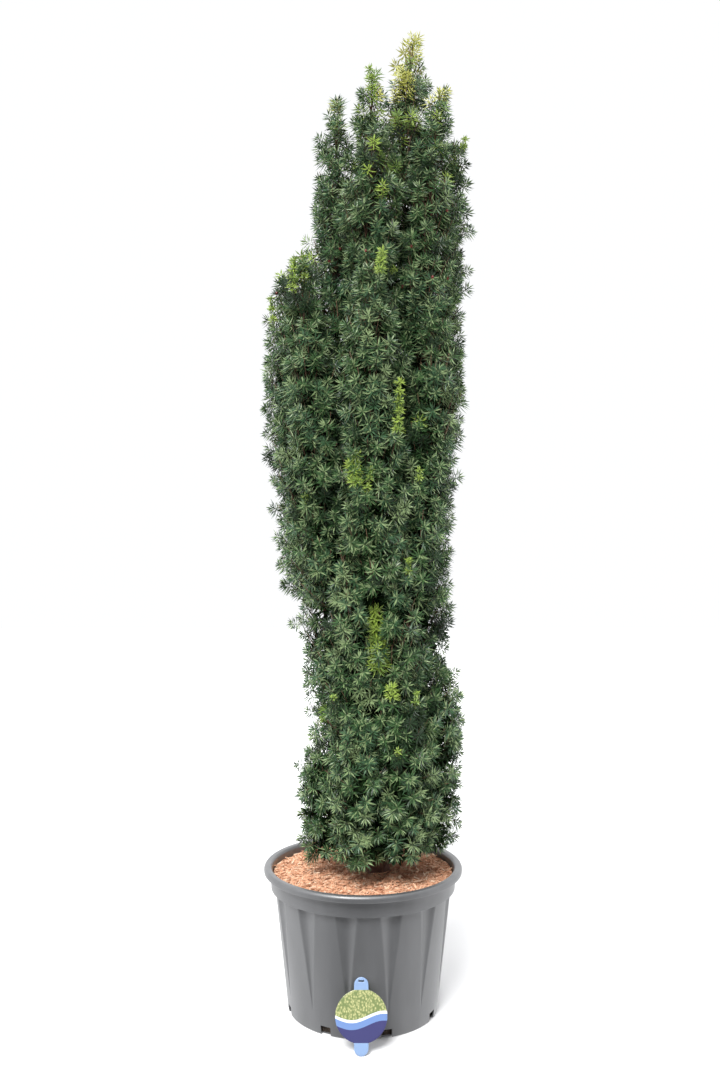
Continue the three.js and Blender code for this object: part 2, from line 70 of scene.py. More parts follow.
BASE_RADIUS = 0.243
WALL_TOP_RADIUS = 0.285
WALL_TOP = 0.388
WALL = 0.004
FLOOR = 0.005
FLUTES = 13
FLUTE_DEPTH = 0.0105
FLUTE_FOOT = 0.07
FLUTE_TURN = math.radians(-10.3)
FLUTE_HALF = math.radians(6.9)  # half a flute's width at its top, seen from the axis
FLUTE_NARROWEST = 0.04  # a flute's width at its foot, as a share of that at its top
FLUTE_ACROSS = np.linspace(-1, 1, 13)  # columns of points across a flute, as shares of half its width
FLUTE_BETWEEN = np.array([0.04, 0.2, 0.4, 0.6, 0.8, 0.96])  # and over the wall between it and the next
WALL_PROFILE = np.array([  # radius, height and rounding of each corner: underside, wall, collar, lip, inside
    (BASE_RADIUS, 0, 0.005), (WALL_TOP_RADIUS, WALL_TOP, 0.0012), (0.2985, 0.3895, 0.001),
    (0.301, 0.434, 0.002), (0.3085, 0.4385, 0.002), (0.3215, 0.4405, 0.002), (0.3222, 0.4525, 0.0045),
    (0.3165, 0.4602, 0.0045), (0.3005, 0.4595, 0.004), (0.295, 0.452, 0.004), (0.2925, 0.393, 0.002),
    (WALL_TOP_RADIUS - WALL, WALL_TOP - 0.002, 0.002), (BASE_RADIUS - WALL, FLOOR, 0.002),
])
PROFILE_STEP = 0.011  # the farthest that two rings of the wall lie apart
DRAINS = 8
DRAIN_TURN = math.radians(17)
DRAIN_SIZE = (0.034, 0.03, 0.056)
DRAIN_OUT = 0.003  # how far outside the foot's edge a notch is centred
SHARP_EDGE = math.radians(32)
PLASTIC = (0.058, 0.06, 0.063)
PLASTIC_WORN = (0.082, 0.084, 0.088)


def piece(name, points, faces, finishes, slot, tones=None, smooth=True):
    """A mesh object at the origin from arrays of points and faces, riding on the plant. tones gives each
    face the number of its finish."""
    mesh = bpy.data.meshes.new(name)
    mesh.from_pydata(points.tolist(), [], faces.tolist())
    for finish in finishes:
        mesh.materials.append(finish)
    if tones is not None:
        mesh.polygons.foreach_set("material_index", tones.astype(np.int32))
    mesh.polygons.foreach_set("use_smooth", np.full(len(mesh.polygons), smooth))
    mesh.update()
    made = bpy.data.objects.new(name, mesh)
    bpy.context.scene.collection.objects.link(made)
    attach(made, "root")
    return made


def rounded(corners, radii, steps=5):
    """A profile whose corners are rounded: each becomes a quadratic Bezier that starts one radius before
    the corner and ends one radius after it. The two ends stay."""
    corners = np.array(corners, float)
    radii = np.array(radii, float)[:, None]
    before, corner, after = corners[:-2], corners[1:-1], corners[2:]
    start = corner + radii * (before - corner) / np.linalg.norm(before - corner, axis=1, keepdims=True)
    end = corner + radii * (after - corner) / np.linalg.norm(after - corner, axis=1, keepdims=True)
    t = np.linspace(0, 1, steps)[None, :, None]
    arcs = (1 - t) ** 2 * start[:, None] + 2 * t * (1 - t) * corner[:, None] + t**2 * end[:, None]
    return np.vstack([corners[:1], arcs.reshape(-1, 2), corners[-1:]])


def divided(line, longest):
    """The same line with evenly spaced points added wherever two points lie more than longest apart."""
    gaps = np.maximum(1, np.ceil(np.linalg.norm(np.diff(line, axis=0), axis=1) / longest)).astype(int)
    knots = np.arange(len(line))
    spread = np.concatenate([i + np.arange(n) / n for i, n in enumerate(gaps)] + [[len(line) - 1]])
    return np.stack([np.interp(spread, knots, line[:, k]) for k in range(line.shape[1])], axis=1)


def round_axis(radius, angle, height):
    """Rings of points round the vertical axis, at (r sin a, -r cos a, z)."""
    return np.stack([radius * np.sin(angle), -radius * np.cos(angle), height + 0 * angle], axis=2)


def ring_faces(rings, sides):
    """The triangles over a stack of rings: two for each cell between one ring and the next, and a fan over
    each end round its middle. The two middles are the points that follow the rings."""
    index = np.arange(rings * sides).reshape(rings, sides)
    index = np.concatenate([index, index[:, :1]], axis=1)
    a, b, c, d = index[:-1, :-1], index[:-1, 1:], index[1:, 1:], index[1:, :-1]
    cells = np.stack([(a, b, c), (a, c, d)]).transpose(0, 2, 3, 1).reshape(-1, 3)
    foot = np.stack([np.full(sides, rings * sides), index[0, 1:], index[0, :-1]], axis=1)
    head = np.stack([np.full(sides, rings * sides + 1), index[-1, :-1], index[-1, 1:]], axis=1)
    return np.vstack([cells, foot, head])


def closed(rings, foot, head):
    """The points and triangles of a stack of rings, closed at its ends round a foot and a head."""
    return np.vstack([rings.reshape(-1, 3), [foot, head]]), ring_faces(*rings.shape[:2])


def flute_rise(height):
    """How far up the flutes a height is: 0 at their foot and below it, 1 under the collar and above it."""
    return np.clip((height - FLUTE_FOOT) / (WALL_TOP - FLUTE_FOOT), 0, 1)


def column_angles(height):
    """The angle of each column of points at each height: across every flute, whose width shrinks evenly
    towards its foot, and over the wall between it and the next."""
    pitch = 2 * math.pi / FLUTES
    half = FLUTE_HALF * np.maximum(flute_rise(height), FLUTE_NARROWEST)[:, None]
    offsets = np.concatenate([half * FLUTE_ACROSS, half + (pitch - 2 * half) * FLUTE_BETWEEN], axis=1)
    return (FLUTE_TURN + pitch * np.arange(FLUTES)[:, None] + offsets[:, None]).reshape(len(height), -1)


def flute_depth(height):
    """How deep the wall is pressed in at each column: half a cosine wave across each flute, and deeper in
    step with the way up it."""
    across = np.concatenate([FLUTE_ACROSS, np.ones(len(FLUTE_BETWEEN))])
    pressed = flute_rise(height) * (height < WALL_TOP + 1e-5)
    return FLUTE_DEPTH * pressed[:, None] * np.tile(np.cos(across * math.pi / 2), FLUTES)


def node(tree, kind, inputs, **settings):
    """A new shader node. inputs gives its sockets, by name or number, plain values or other sockets."""
    made = tree.nodes.new(kind)
    for key, value in settings.items():
        setattr(made, key, value)
    for key, value in inputs.items():
        if isinstance(value, bpy.types.NodeSocket):
            tree.links.new(value, made.inputs[key])
        else:
            made.inputs[key].default_value = value
    return made


def mixed(tree, share, first, second):
    """The first colour or socket with a share of the second mixed in."""
    return node(tree, "ShaderNodeMix", {0: share, 6: first, 7: second}, data_type="RGBA").outputs[2]


def mottle_group():
    """Soft patches over a surface: fractal noise on Object coordinates, stretched by a vector, turned into a
    mask from 0 to 1 between two thresholds."""
    group = bpy.data.node_groups.new("mottle", "ShaderNodeTree")
    for name, kind in (("Stretch", "Vector"), ("Detail", "Float"), ("From", "Float"), ("To", "Float")):
        group.interface.new_socket(name, in_out="INPUT", socket_type=f"NodeSocket{kind}")
    group.interface.new_socket("Mask", in_out="OUTPUT", socket_type="NodeSocketFloat")
    given = group.nodes.new("NodeGroupInput")
    place = node(group, "ShaderNodeTexCoord", {})
    scaled = node(group, "ShaderNodeVectorMath", {0: place.outputs["Object"], 1: given.outputs["Stretch"]},
                  operation="MULTIPLY")
    noise = node(group, "ShaderNodeTexNoise", {"Vector": scaled.outputs[0], "Scale": 1.0,
                                               "Detail": given.outputs["Detail"], "Roughness": 0.6})
    mask = node(group, "ShaderNodeMapRange", {"Value": noise.outputs[0], "From Min": given.outputs["From"],
                                              "From Max": given.outputs["To"]})
    node(group, "NodeGroupOutput", {"Mask": mask.outputs[0]})
    return group


MOTTLE = mottle_group()


def mottle(tree, stretch, detail, start, end):
    """The mask of one use of the mottle group in a material."""
    return node(tree, "ShaderNodeGroup", {"Stretch": stretch, "Detail": detail, "From": start, "To": end},
                node_tree=MOTTLE).outputs["Mask"]


def finish(name, colour, roughness, other=None, mask=None, rough_mask=None, rough_other=0.5, bump=None,
           shine=0.5):
    """A material with one shader. other and mask blend a second colour in, and rough_mask a second roughness.
    bump is a height mask and a depth in metres. Each mask is the four values of a mottle: its stretch, its
    detail and its two thresholds. shine is how strongly the surface reflects, 0.5 for plain plastic."""
    material = bpy.data.materials.new(name)
    material.use_nodes = True
    tree = material.node_tree
    shader = tree.nodes["Principled BSDF"]
    shader.inputs["Base Color"].default_value = (*colour, 1)
    shader.inputs["Roughness"].default_value = roughness
    shader.inputs["Specular IOR Level"].default_value = shine
    if mask:
        blend = mixed(tree, mottle(tree, *mask), (*colour, 1), (*other, 1))
        tree.links.new(blend, shader.inputs["Base Color"])
    if rough_mask:
        level = node(tree, "ShaderNodeMapRange", {"Value": mottle(tree, *rough_mask), "To Min": roughness,
                                                  "To Max": rough_other})
        tree.links.new(level.outputs[0], shader.inputs["Roughness"])
    if bump:
        height, depth = bump
        relief = node(tree, "ShaderNodeBump", {"Height": mottle(tree, *height), "Distance": depth})
        tree.links.new(relief.outputs[0], shader.inputs["Normal"])
    return material


def container_shell():
    """The wall's profile is rounded, revolved round the axis and pressed in at the flutes."""
    corners = np.vstack([[0, 0], WALL_PROFILE[:, :2], [0, FLOOR]])
    radius, height = divided(rounded(corners, WALL_PROFILE[:, 2]), PROFILE_STEP)[1:-1].T
    rings = round_axis(radius[:, None], column_angles(height), height[:, None])
    rings[:, :, :2] *= (1 - flute_depth(height) / np.hypot(rings[:, :, 0], rings[:, :, 1]))[:, :, None]
    return closed(rings, (0, 0, 0), (0, 0, FLOOR))


BOX_CORNERS = np.array([(x, y, z) for z in (-0.5, 0.5) for y in (-0.5, 0.5) for x in (-0.5, 0.5)])
BOX_FACES = np.array([(0, 2, 3), (0, 3, 1), (4, 5, 7), (4, 7, 6), (0, 1, 5), (0, 5, 4), (2, 6, 7), (2, 7, 3),
                      (0, 4, 6), (0, 6, 2), (1, 3, 7), (1, 7, 5)])


def repeated(faces, corner_count, copies):
    """The faces of one small shape repeated for each of its copies, whose corners follow one another."""
    return (faces[None] + corner_count * np.arange(copies)[:, None, None]).reshape(-1, faces.shape[1])


def turned(points, angles):
    """Groups of points, each turned about the vertical by its own angle."""
    cos, sin = np.cos(angles)[:, None], np.sin(angles)[:, None]
    x, y, z = points[..., 0], points[..., 1], points[..., 2]
    return np.stack([x * cos - y * sin, x * sin + y * cos, z], axis=-1)


def cut_out(target, points, faces):
    """Cuts the closed shape of these points and faces out of the target's mesh for good."""
    mesh = bpy.data.meshes.new("cutter")
    mesh.from_pydata(points.tolist(), [], faces.tolist())
    cutter = bpy.data.objects.new("cutter", mesh)
    bpy.context.scene.collection.objects.link(cutter)
    cut = target.modifiers.new("cut", "BOOLEAN")
    cut.operation = "DIFFERENCE"
    cut.solver = "EXACT"
    cut.object = cutter
    whole = target.data
    shown = target.evaluated_get(bpy.context.evaluated_depsgraph_get())
    target.data = bpy.data.meshes.new_from_object(shown)
    target.modifiers.clear()
    target.data.name = target.name
    bpy.data.objects.remove(cutter)
    for old in (mesh, whole):
        bpy.data.meshes.remove(old)


plastic = finish("container_plastic", PLASTIC, 0.36, other=PLASTIC_WORN,
                 mask=((9, 9, 2.5), 4, 0.42, 0.75), rough_mask=((14, 14, 5), 5, 0.35, 0.7),
                 rough_other=0.46, bump=(((620, 620, 620), 2, 0.3, 0.7), 0.00012), shine=1.0)
plastic.node_tree.nodes["Principled BSDF"].inputs["Coat Weight"].default_value = 0.8
plastic.node_tree.nodes["Principled BSDF"].inputs["Coat Roughness"].default_value = 0.4
pot = piece("nursery_container", *container_shell(), [plastic], "container")
notches = BOX_CORNERS * DRAIN_SIZE - (0, BASE_RADIUS + DRAIN_OUT, 0)
drain_angles = DRAIN_TURN + 2 * math.pi * np.arange(DRAINS) / DRAINS
cut_out(pot, turned(np.repeat(notches[None], DRAINS, 0), drain_angles).reshape(-1, 3),
        repeated(BOX_FACES, 8, DRAINS))
pot.data.set_sharp_from_angle(angle=SHARP_EDGE)
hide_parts("container")

# ---------- Compost ----------
# Moist dark potting compost that fills the container. It shows only as a thin dark line round the mulch.

COMPOST_DARK = (0.03, 0.021, 0.014)
COMPOST_LIGHT = (0.075, 0.052, 0.034)

soil = finish("compost_soil", COMPOST_DARK, 0.95, other=COMPOST_LIGHT, mask=((160, 160, 160), 5, 0.45, 0.62),
              bump=(((240, 240, 240), 4, 0.3, 0.7), 0.003))
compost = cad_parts["compost"]
compost.data.materials.clear()
compost.data.materials.append(soil)

# ---------- Mulch ----------
# A bed of shredded pine bark, a little higher towards the wall. The chips are split and torn slivers in
# tan, orange and brown, lying loose on one another.

MULCH_TOP = 0.43
MULCH_FOOT = 0.4
MULCH_RADIUS = 0.289
MULCH_SUNK = 0.002  # how far under that the bed lies in the middle
MULCH_HEAPED = 0.006  # and how much higher towards the wall
MULCH_LUMPS = (0.0035, 0.07)  # height and width
MULCH_EDGE = (0.003, 0.008)  # how far beyond its rim the bed rolls over, outwards and down,
MULCH_UNDERCUT = 0.006  # and how far inside it the skirt ends
MULCH_SEED = 5
MULCH_DARK = (0.66, 0.36, 0.21)
MULCH_LIGHT = (0.82, 0.5, 0.32)
CHIPS = 7200
CHIP_SIZE = (0.0115, 0.0036, 0.0018)
CHIP_LONGEST = 0.03
CHIP_SPREAD = 0.38  # how far the chips' sizes spread
CHIP_NARROWED = 0.75  # how much a chip may narrow towards one end, as a share of its width
CHIP_BENT = 2.2
CHIP_TILTS = (0.18, 0.25)  # how steeply the chips lie, along and across
CHIP_LOOSE = 0.0035  # how far the topmost chips lie over the bed
CHIP_COLOURS = (
    (0.76, 0.41, 0.25), (0.82, 0.51, 0.33), (0.66, 0.34, 0.2), (0.88, 0.64, 0.46), (0.46, 0.22, 0.12),
)
CHIP_MIX = (0.32, 0.26, 0.2, 0.14, 0.08)
CHIP_STREAKS = 0.86  # how bright the darker streaks on a chip are, as a share of its colour
GOLDEN = 2.39996  # the turn from one leaf, chip or twig to the next, in radians


def ripples(points, wavelength, waves, draw):
    """A smooth random height for each point, about -1 to 1: sine waves in random directions, near one
    wavelength, added together."""
    directions = draw.normal(size=(points.shape[-1], waves))
    directions *= 2 * math.pi / wavelength / np.linalg.norm(directions, axis=0)
    directions *= draw.uniform(0.6, 1.6, waves)
    phases = draw.uniform(0, 2 * math.pi, waves)
    return np.sin(points @ directions + phases).sum(axis=-1) * math.sqrt(2 / waves) / 1.6


def mulch_height(x, y):
    """The bed's top: heaped evenly towards the wall, with soft lumps a few centimetres across."""
    height, width = MULCH_LUMPS
    lumps = height * ripples(np.stack([x, y], axis=-1), width, 24, np.random.default_rng(MULCH_SEED))
    heaped = MULCH_HEAPED * np.clip(np.hypot(x, y) / MULCH_RADIUS, 0, 1)
    return MULCH_TOP - MULCH_SUNK + heaped + lumps


def mulch_bed():
    """Rings out to the edge, lifted to the bed's height, with a skirt down to the compost."""
    skirt = [MULCH_RADIUS + MULCH_EDGE[0], MULCH_RADIUS - MULCH_UNDERCUT]
    radius = np.concatenate([np.linspace(0.004, MULCH_RADIUS, 60), skirt])
    angle = np.linspace(0, 2 * math.pi, 150, endpoint=False)
    rings = round_axis(radius[:, None], angle, 0 * radius[:, None])
    rings[:, :, 2] = mulch_height(rings[:, :, 0], rings[:, :, 1])
    rings[-2, :, 2] -= MULCH_EDGE[1]
    rings[-1, :, 2] = MULCH_FOOT
    return closed(rings[::-1], (0, 0, MULCH_FOOT), (0, 0, rings[0, :, 2].mean()))


def mulch_chips():
    """Slivers at even spacing by the golden turn: a box for each, narrowed and bent, tilted a little and
    turned at random, lying on the bed. Returns points, faces and each face's colour."""
    draw = np.random.default_rng(8)
    radius = (MULCH_RADIUS - 0.004) * np.sqrt((np.arange(CHIPS) + draw.uniform(size=CHIPS)) / CHIPS)
    angle = np.arange(CHIPS) * GOLDEN
    size = np.array(CHIP_SIZE) * draw.lognormal(0, CHIP_SPREAD, (CHIPS, 3))
    size[:, 0] = np.minimum(size[:, 0], CHIP_LONGEST)
    corners = BOX_CORNERS[None] * size[:, None]
    corners[:, :, 1] *= 1 - CHIP_NARROWED * (BOX_CORNERS[:, 0] > 0) * draw.uniform(0, 1, (CHIPS, 1))
    corners[:, :, 2] += CHIP_BENT * draw.uniform(-1, 1, (CHIPS, 1)) * corners[:, :, 0] ** 2 / CHIP_LONGEST
    tilt, roll = (draw.normal(0, spread, (CHIPS, 1)) for spread in CHIP_TILTS)
    corners[:, :, 2] += tilt * corners[:, :, 0] + roll * corners[:, :, 1]
    corners = turned(corners, draw.uniform(0, 2 * math.pi, CHIPS))
    x, y = radius * np.sin(angle), -radius * np.cos(angle)
    z = mulch_height(x, y) + draw.uniform(0, CHIP_LOOSE, CHIPS)
    corners += np.stack([x, y, z], axis=1)[:, None]
    kinds = draw.choice(len(CHIP_COLOURS), CHIPS, p=CHIP_MIX)
    return corners.reshape(-1, 3), repeated(BOX_FACES, 8, CHIPS), np.repeat(kinds, len(BOX_FACES))


bed_bark = finish("mulch_bed", MULCH_DARK, 0.9, other=MULCH_LIGHT, mask=((130, 130, 130), 5, 0.4, 0.62),
                  bump=(((190, 190, 190), 4, 0.3, 0.7), 0.004))
bed = piece("mulch_bed", *mulch_bed(), [bed_bark], "mulch")
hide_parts("bark_mulch")
chip_points, chip_faces, chip_kinds = mulch_chips()
chip_bark = [finish(f"mulch_chip_{i + 1}", colour, 0.72, other=[CHIP_STREAKS * part for part in colour],
                    mask=((420, 420, 420), 3, 0.45, 0.65), rough_mask=((90, 90, 90), 2, 0.4, 0.6),
                    rough_other=0.9, bump=(((700, 700, 700), 3, 0.3, 0.7), 0.0006))
             for i, colour in enumerate(CHIP_COLOURS)]
piece("mulch_chips", chip_points, chip_faces, chip_bark, "mulch", tones=chip_kinds, smooth=False)

# ---------- Trunk ----------
# One trunk from the root flare at the mulch to the foot of the leader, leaning a little to the right. Yew
# bark is thin and red-brown, and peels in long flakes that leave lighter patches.

TRUNK_PATH = np.array([
    (0.05, 0.008, 0.4303), (0.05, 0.008, 0.5), (0.038, 0.004, 0.9), (0.046, 0, 1.5), (0.066, 0, 2.15),
    (0.084, 0, 2.38), (0.106, 0, 2.58),
])
TRUNK_FOOT_RADIUS = 0.027
TRUNK_TIP_RADIUS = 0.005
TRUNK_RINGS = 420
TRUNK_SIDES = 48
FLARE = 0.013
FLARE_HEIGHT = 0.045
TRUNK_SUNK = 0.006  # how far the trunk's foot goes into the mulch
FLAKE_DEPTH = 0.0011
BARK_PATTERN = (0.03, 0.22)  # the radius that the flakes are laid out on, and how much they are drawn out
BARK_COLOURS = ((0.115, 0.052, 0.032), (0.22, 0.105, 0.066))  # plates, and where a flake has peeled


def curve_through(knots, steps=60):
    """A centripetal Catmull-Rom curve through the knots: on each stretch a cubic whose end tangents come
    from the neighbouring knots, with time running as the square root of the distance."""
    ends = [2 * knots[:1] - knots[1:2], knots, 2 * knots[-1:] - knots[-2:-1]]
    p = np.vstack(ends)
    dt = np.sqrt(np.linalg.norm(np.diff(p, axis=0), axis=1))[:, None]
    p0, p1, p2, p3 = p[:-3], p[1:-2], p[2:-1], p[3:]
    d0, d1, d2 = dt[:-2], dt[1:-1], dt[2:]
    leave = ((p1 - p0) / d0 - (p2 - p0) / (d0 + d1) + (p2 - p1) / d1) * d1
    arrive = ((p2 - p1) / d1 - (p3 - p1) / (d1 + d2) + (p3 - p2) / d2) * d1
    t = (np.arange(steps) / steps)[None, :, None]
    a, b, u, v = p1[:, None], p2[:, None], leave[:, None], arrive[:, None]
    cubic = (2 * t**3 - 3 * t**2 + 1) * a + (t**3 - 2 * t**2 + t) * u
    cubic = cubic + (3 * t**2 - 2 * t**3) * b + (t**3 - t**2) * v
    return np.vstack([cubic.reshape(-1, knots.shape[1]), knots[-1:]])


def at_share(line, share):
    """Points of a line at these shares of its length."""
    along = np.concatenate([[0], np.cumsum(np.linalg.norm(np.diff(line, axis=0), axis=1))])
    return np.stack([np.interp(np.asarray(share) * along[-1], along, line[:, k]) for k in range(3)], axis=-1)


def length_of(line):
    """The length of a line of points."""
    return np.linalg.norm(np.diff(line, axis=0), axis=1).sum()


def unit(vectors):
    """The vectors at length one."""
    return vectors / np.maximum(np.linalg.norm(vectors, axis=-1, keepdims=True), 1e-12)


def sideways(along, angle, steady=(0.3, 0.9, 0.1)):
    """A direction square to each line, at an angle round it that counts from the direction square to both
    the line and the steady one: cos a across + sin a (along x across)."""
    across = unit(np.cross(along, steady))
    return np.cos(angle) * across + np.sin(angle) * np.cross(along, across)


def tubes(paths, radii, sides, relief=0.0):
    """Closed tubes, one for each path of points, with a radius for each point. Each ring lies square to its
    path. relief adds to the radius, with one value for each ring and side. Returns points and triangles."""
    count, rings = paths.shape[:2]
    tangents = unit(np.gradient(paths, axis=1))[:, :, None]
    angle = (2 * math.pi * np.arange(sides) / sides)[:, None]
    out = sideways(tangents, angle, (0.31, 0.9, 0.12))
    points = paths[:, :, None] + out * (radii[..., None] + relief)[..., None]
    ends = np.stack([paths[:, 0], paths[:, -1]], axis=1)
    points = np.concatenate([points.reshape(count, -1, 3), ends], axis=1)
    return points.reshape(-1, 3), repeated(ring_faces(rings, sides), rings * sides + 2, count)


def bark_relief(length, sides, rings, depth, draw):
    """Flakes of bark: ripples longer up the limb than round it, sharpened into plates with narrow grooves."""
    angle = 2 * math.pi * np.arange(sides) / sides
    up = np.linspace(0, length, rings)[:, None]
    radius, drawn_out = BARK_PATTERN
    place = round_axis(radius + 0 * up, angle + math.pi / 2, drawn_out * up)
    return depth * (np.tanh(3.2 * ripples(place, 0.013, 26, draw)) + 0.4 * ripples(place, 0.03, 12, draw))


trunk_line = curve_through(TRUNK_PATH)
trunk_length = length_of(trunk_line)


def trunk_radius(share):
    """An even taper from foot to tip, with a root flare that dies away up the trunk."""
    taper = TRUNK_TIP_RADIUS + (TRUNK_FOOT_RADIUS - TRUNK_TIP_RADIUS) * (1 - share)
    return taper + FLARE * np.exp(-share * trunk_length / FLARE_HEIGHT)


def bark(name, colours, fine):
    """Bark: patches where a flake has peeled, and fine fissures along the limb as bump."""
    return finish(name, colours[0], 0.82, other=colours[1], mask=((60, 60, 16), 5, 0.46, 0.6),
                  bump=(((300, 300, fine), 4, 0.3, 0.7), 0.0012))


trunk_bark = bark("trunk_bark", BARK_COLOURS, 70)
trunk_shares = np.linspace(0, 1, TRUNK_RINGS) ** 1.3
trunk_flakes = bark_relief(trunk_length, TRUNK_SIDES, TRUNK_RINGS, FLAKE_DEPTH, np.random.default_rng(3))
trunk_points, trunk_faces = tubes(at_share(trunk_line, trunk_shares)[None], trunk_radius(trunk_shares)[None],
                                  TRUNK_SIDES, trunk_flakes[None])
trunk_points[:, 2] = np.maximum(trunk_points[:, 2], MULCH_TOP - TRUNK_SUNK)
trunk = piece("trunk_with_bark", trunk_points, trunk_faces, [trunk_bark], "bark")
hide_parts("trunk")

# ---------- Boughs ----------
# Each steep plume of the crown hangs on one bough. The boughs leave the trunk in four tiers, each bough a
# step above the last and on another side, and turn upwards at once.

BOUGH_SHARE = 0.5  # a bough's radius where it leaves the trunk, as a share of the trunk's there
BOUGH_MORE = 0.003  # and this much is added
BOUGH_TIP_RADIUS = 0.0055
BOUGH_RINGS = 34
BOUGH_SIDES = 18
BOUGH_FLAKE_DEPTH = 0.0006
POINT = 0.28  # a plume's girth at its tip as a share of its full girth
BOW = 0.6  # how early a plume's axis swings out to its tip, where its row has no fifth value
# Each tier: the height of its lowest bough's root, the step up to the next one, the height of its plumes'
# feet, how far out they lie on the way to the tips, the girth at the feet as a share of the full girth, and
# how far the twigs lean out. Each plume: the x, y and height of its tip, its girth and where given its bow.
TIERS = {
    "skirt": dict(root=0.47, step=0.012, foot=0.534, spread=0.74, blunt=0.92, lean=1.75, plumes=[
        (-0.138, -0.044, 0.856, 0.136), (-0.014, -0.172, 0.985, 0.13), (0.138, -0.166, 1.01, 0.134),
        (0.24, -0.016, 1.13, 0.144), (0.156, 0.152, 1.06, 0.138), (-0.03, 0.162, 0.98, 0.134),
    ]),
    "low": dict(root=0.58, step=0.026, foot=0.77, spread=0.46, blunt=0.85, lean=0.9, plumes=[
        (-0.16, -0.062, 1.56, 0.112, 0.3), (-0.046, -0.158, 1.62, 0.118), (0.108, -0.144, 1.66, 0.12),
        (0.2, 0, 1.61, 0.126), (0.104, 0.138, 1.64, 0.12), (-0.064, 0.146, 1.59, 0.122),
    ]),
    "middle": dict(root=0.9, step=0.04, foot=1.25, spread=0.54, blunt=0.85, lean=0.9, plumes=[
        (-0.256, -0.018, 2.401, 0.124), (-0.196, -0.15, 2.42, 0.118), (0.024, -0.214, 2.38, 0.128),
        (0.236, -0.136, 2.33, 0.124), (0.236, 0.116, 2.36, 0.126), (0.01, 0.212, 2.4, 0.128),
        (-0.186, 0.138, 2.39, 0.118),
    ]),
    "upper": dict(root=1.4, step=0.048, foot=1.8, spread=0.48, blunt=0.85, lean=0.9, plumes=[
        (-0.08, -0.032, 2.94, 0.104, 1.7), (0.026, -0.126, 2.99, 0.106), (0.24, -0.092, 2.949, 0.106),
        (0.306, 0.03, 2.828, 0.092), (0.186, 0.126, 2.93, 0.11), (0.008, 0.118, 2.96, 0.11),
    ]),
}
BOUGH_TURN = np.array([0.7, 0.7, 0.4])  # where a bough turns upwards, across and up, as shares of its way
PLUME_RISE = 0.35  # how far up a plume's axis its bend lies


def trunk_at(height):
    """The trunk's middle at a height."""
    return np.array([np.interp(height, trunk_line[:, 2], trunk_line[:, k]) for k in range(3)])


def bezier(start, bend, end, t):
    """A quadratic Bezier: (1 - t)^2 start + 2 t (1 - t) bend + t^2 end."""
    t = np.asarray(t, float)[:, None]
    return (1 - t) ** 2 * start + 2 * t * (1 - t) * bend + t**2 * end


def plume_of(tier, row, index):
    """One plume from its row in the table: the bough's path from the trunk to the plume's foot, and the
    ends and bend of the axis from its foot to its tip."""
    x, y, top, girth, bow = (*row, BOW)[:5]
    tip = np.array([x, y, top - POINT * girth])
    foot = trunk_at(tier["foot"])
    foot[:2] += (tip[:2] - foot[:2]) * tier["spread"]
    bend = foot + (tip - foot) * np.array([bow, bow, PLUME_RISE])
    root_height = tier["root"] + (index * 2) % (len(tier["plumes"]) | 1) * tier["step"]
    root = trunk_at(root_height)
    turn = root + (foot - root) * BOUGH_TURN
    share = (root[2] - MULCH_TOP) / (TRUNK_PATH[-1, 2] - MULCH_TOP)
    return dict(girth=girth, blunt=tier["blunt"], lean=tier["lean"], axis=(foot, bend, tip),
                bough=bezier(root, turn, foot, np.linspace(0, 1, BOUGH_RINGS)),
                bough_radius=BOUGH_SHARE * trunk_radius(share) + BOUGH_MORE)


plumes = {f"{tier_name}_{i + 1}": plume_of(tier, row, i)
          for tier_name, tier in TIERS.items() for i, row in enumerate(tier["plumes"])}
for tier_name in TIERS:
    names = [name for name in plumes if name.startswith(tier_name)]
    paths = np.stack([plumes[name]["bough"] for name in names])
    foot_radii = [plumes[name]["bough_radius"] for name in names]
    thick = np.linspace(foot_radii, BOUGH_TIP_RADIUS, BOUGH_RINGS, axis=1)
    draws = [np.random.default_rng(60 + i) for i in range(len(names))]
    flakes = np.stack([bark_relief(0.4, BOUGH_SIDES, BOUGH_RINGS, BOUGH_FLAKE_DEPTH, draw) for draw in draws])
    boughs = piece(f"boughs_{tier_name}", *tubes(paths, thick, BOUGH_SIDES, flakes), [trunk_bark], "bark")
    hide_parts(*[f"bough_{name}" for name in names])

# ---------- Foliage ----------
# Steep twigs wind up each plume's stem and fork into short shoots, each a whorl of flat, dark, glossy
# needles, paler beneath. The leader and scattered new shoots are still a fresh yellow-green.

LEADER = dict(tip=(0.166, 0), top=3.174, girth=0.092, blunt=0.85, lean=0.9)
AXIS_SAMPLES = 24
FULL_FROM = 0.14  # a plume has its full girth between these two shares of its axis
FULL_TO = 0.56
MARGIN = 0.003  # how far neighbouring plumes keep off the border between them
GROOVE = 0.031  # how far the grooves between neighbouring plumes are filled
SPIRES = (2.93, 3.05)  # between these heights the grooves open up, and the plumes stand apart
SPIRES_OPEN = 0.035
ABOVE_MULCH = 0.44
LIP_CLEAR = (0.472, 0.285)  # shoots end over this height or within this radius, clear of the container's lip
TWIG_SPACING = 0.0036
TWIG_STEP = 0.01
TWIG_LENGTHS = (0.028, 0.44)
TWIG_LIFT = (0.9, 0.3)  # how fast a twig bends upwards, high in the crown and low in the skirt
TWIG_SUNK = (0.22, 0.55)  # how deep under the crown's surface a twig ends, as a share of the girth there
TWIG_RADII = (0.0024, 0.001)
LEAN_TIP = 0.26  # how far the twigs lean out near a plume's tip, in radians
LEAN_SPREAD = 0.16
HANGING = 1.5  # the twigs of a plume that leans out further than this hang at its foot
HANGING_MORE = 1.7  # and they are so many times as many
HANGING_TO = 0.4  # the share of such a plume that they hang from
DROOP = 0.9  # how much further out and down they may lean
STEM_TIP_RADIUS = 0.0015
STEM_PAST_TIP = 0.3  # how far a stem goes on past its plume's axis, as a share of the girth there
TRUNK_TWIGS = 260
TRUNK_TWIG_HEIGHTS = (0.55, 2.45)
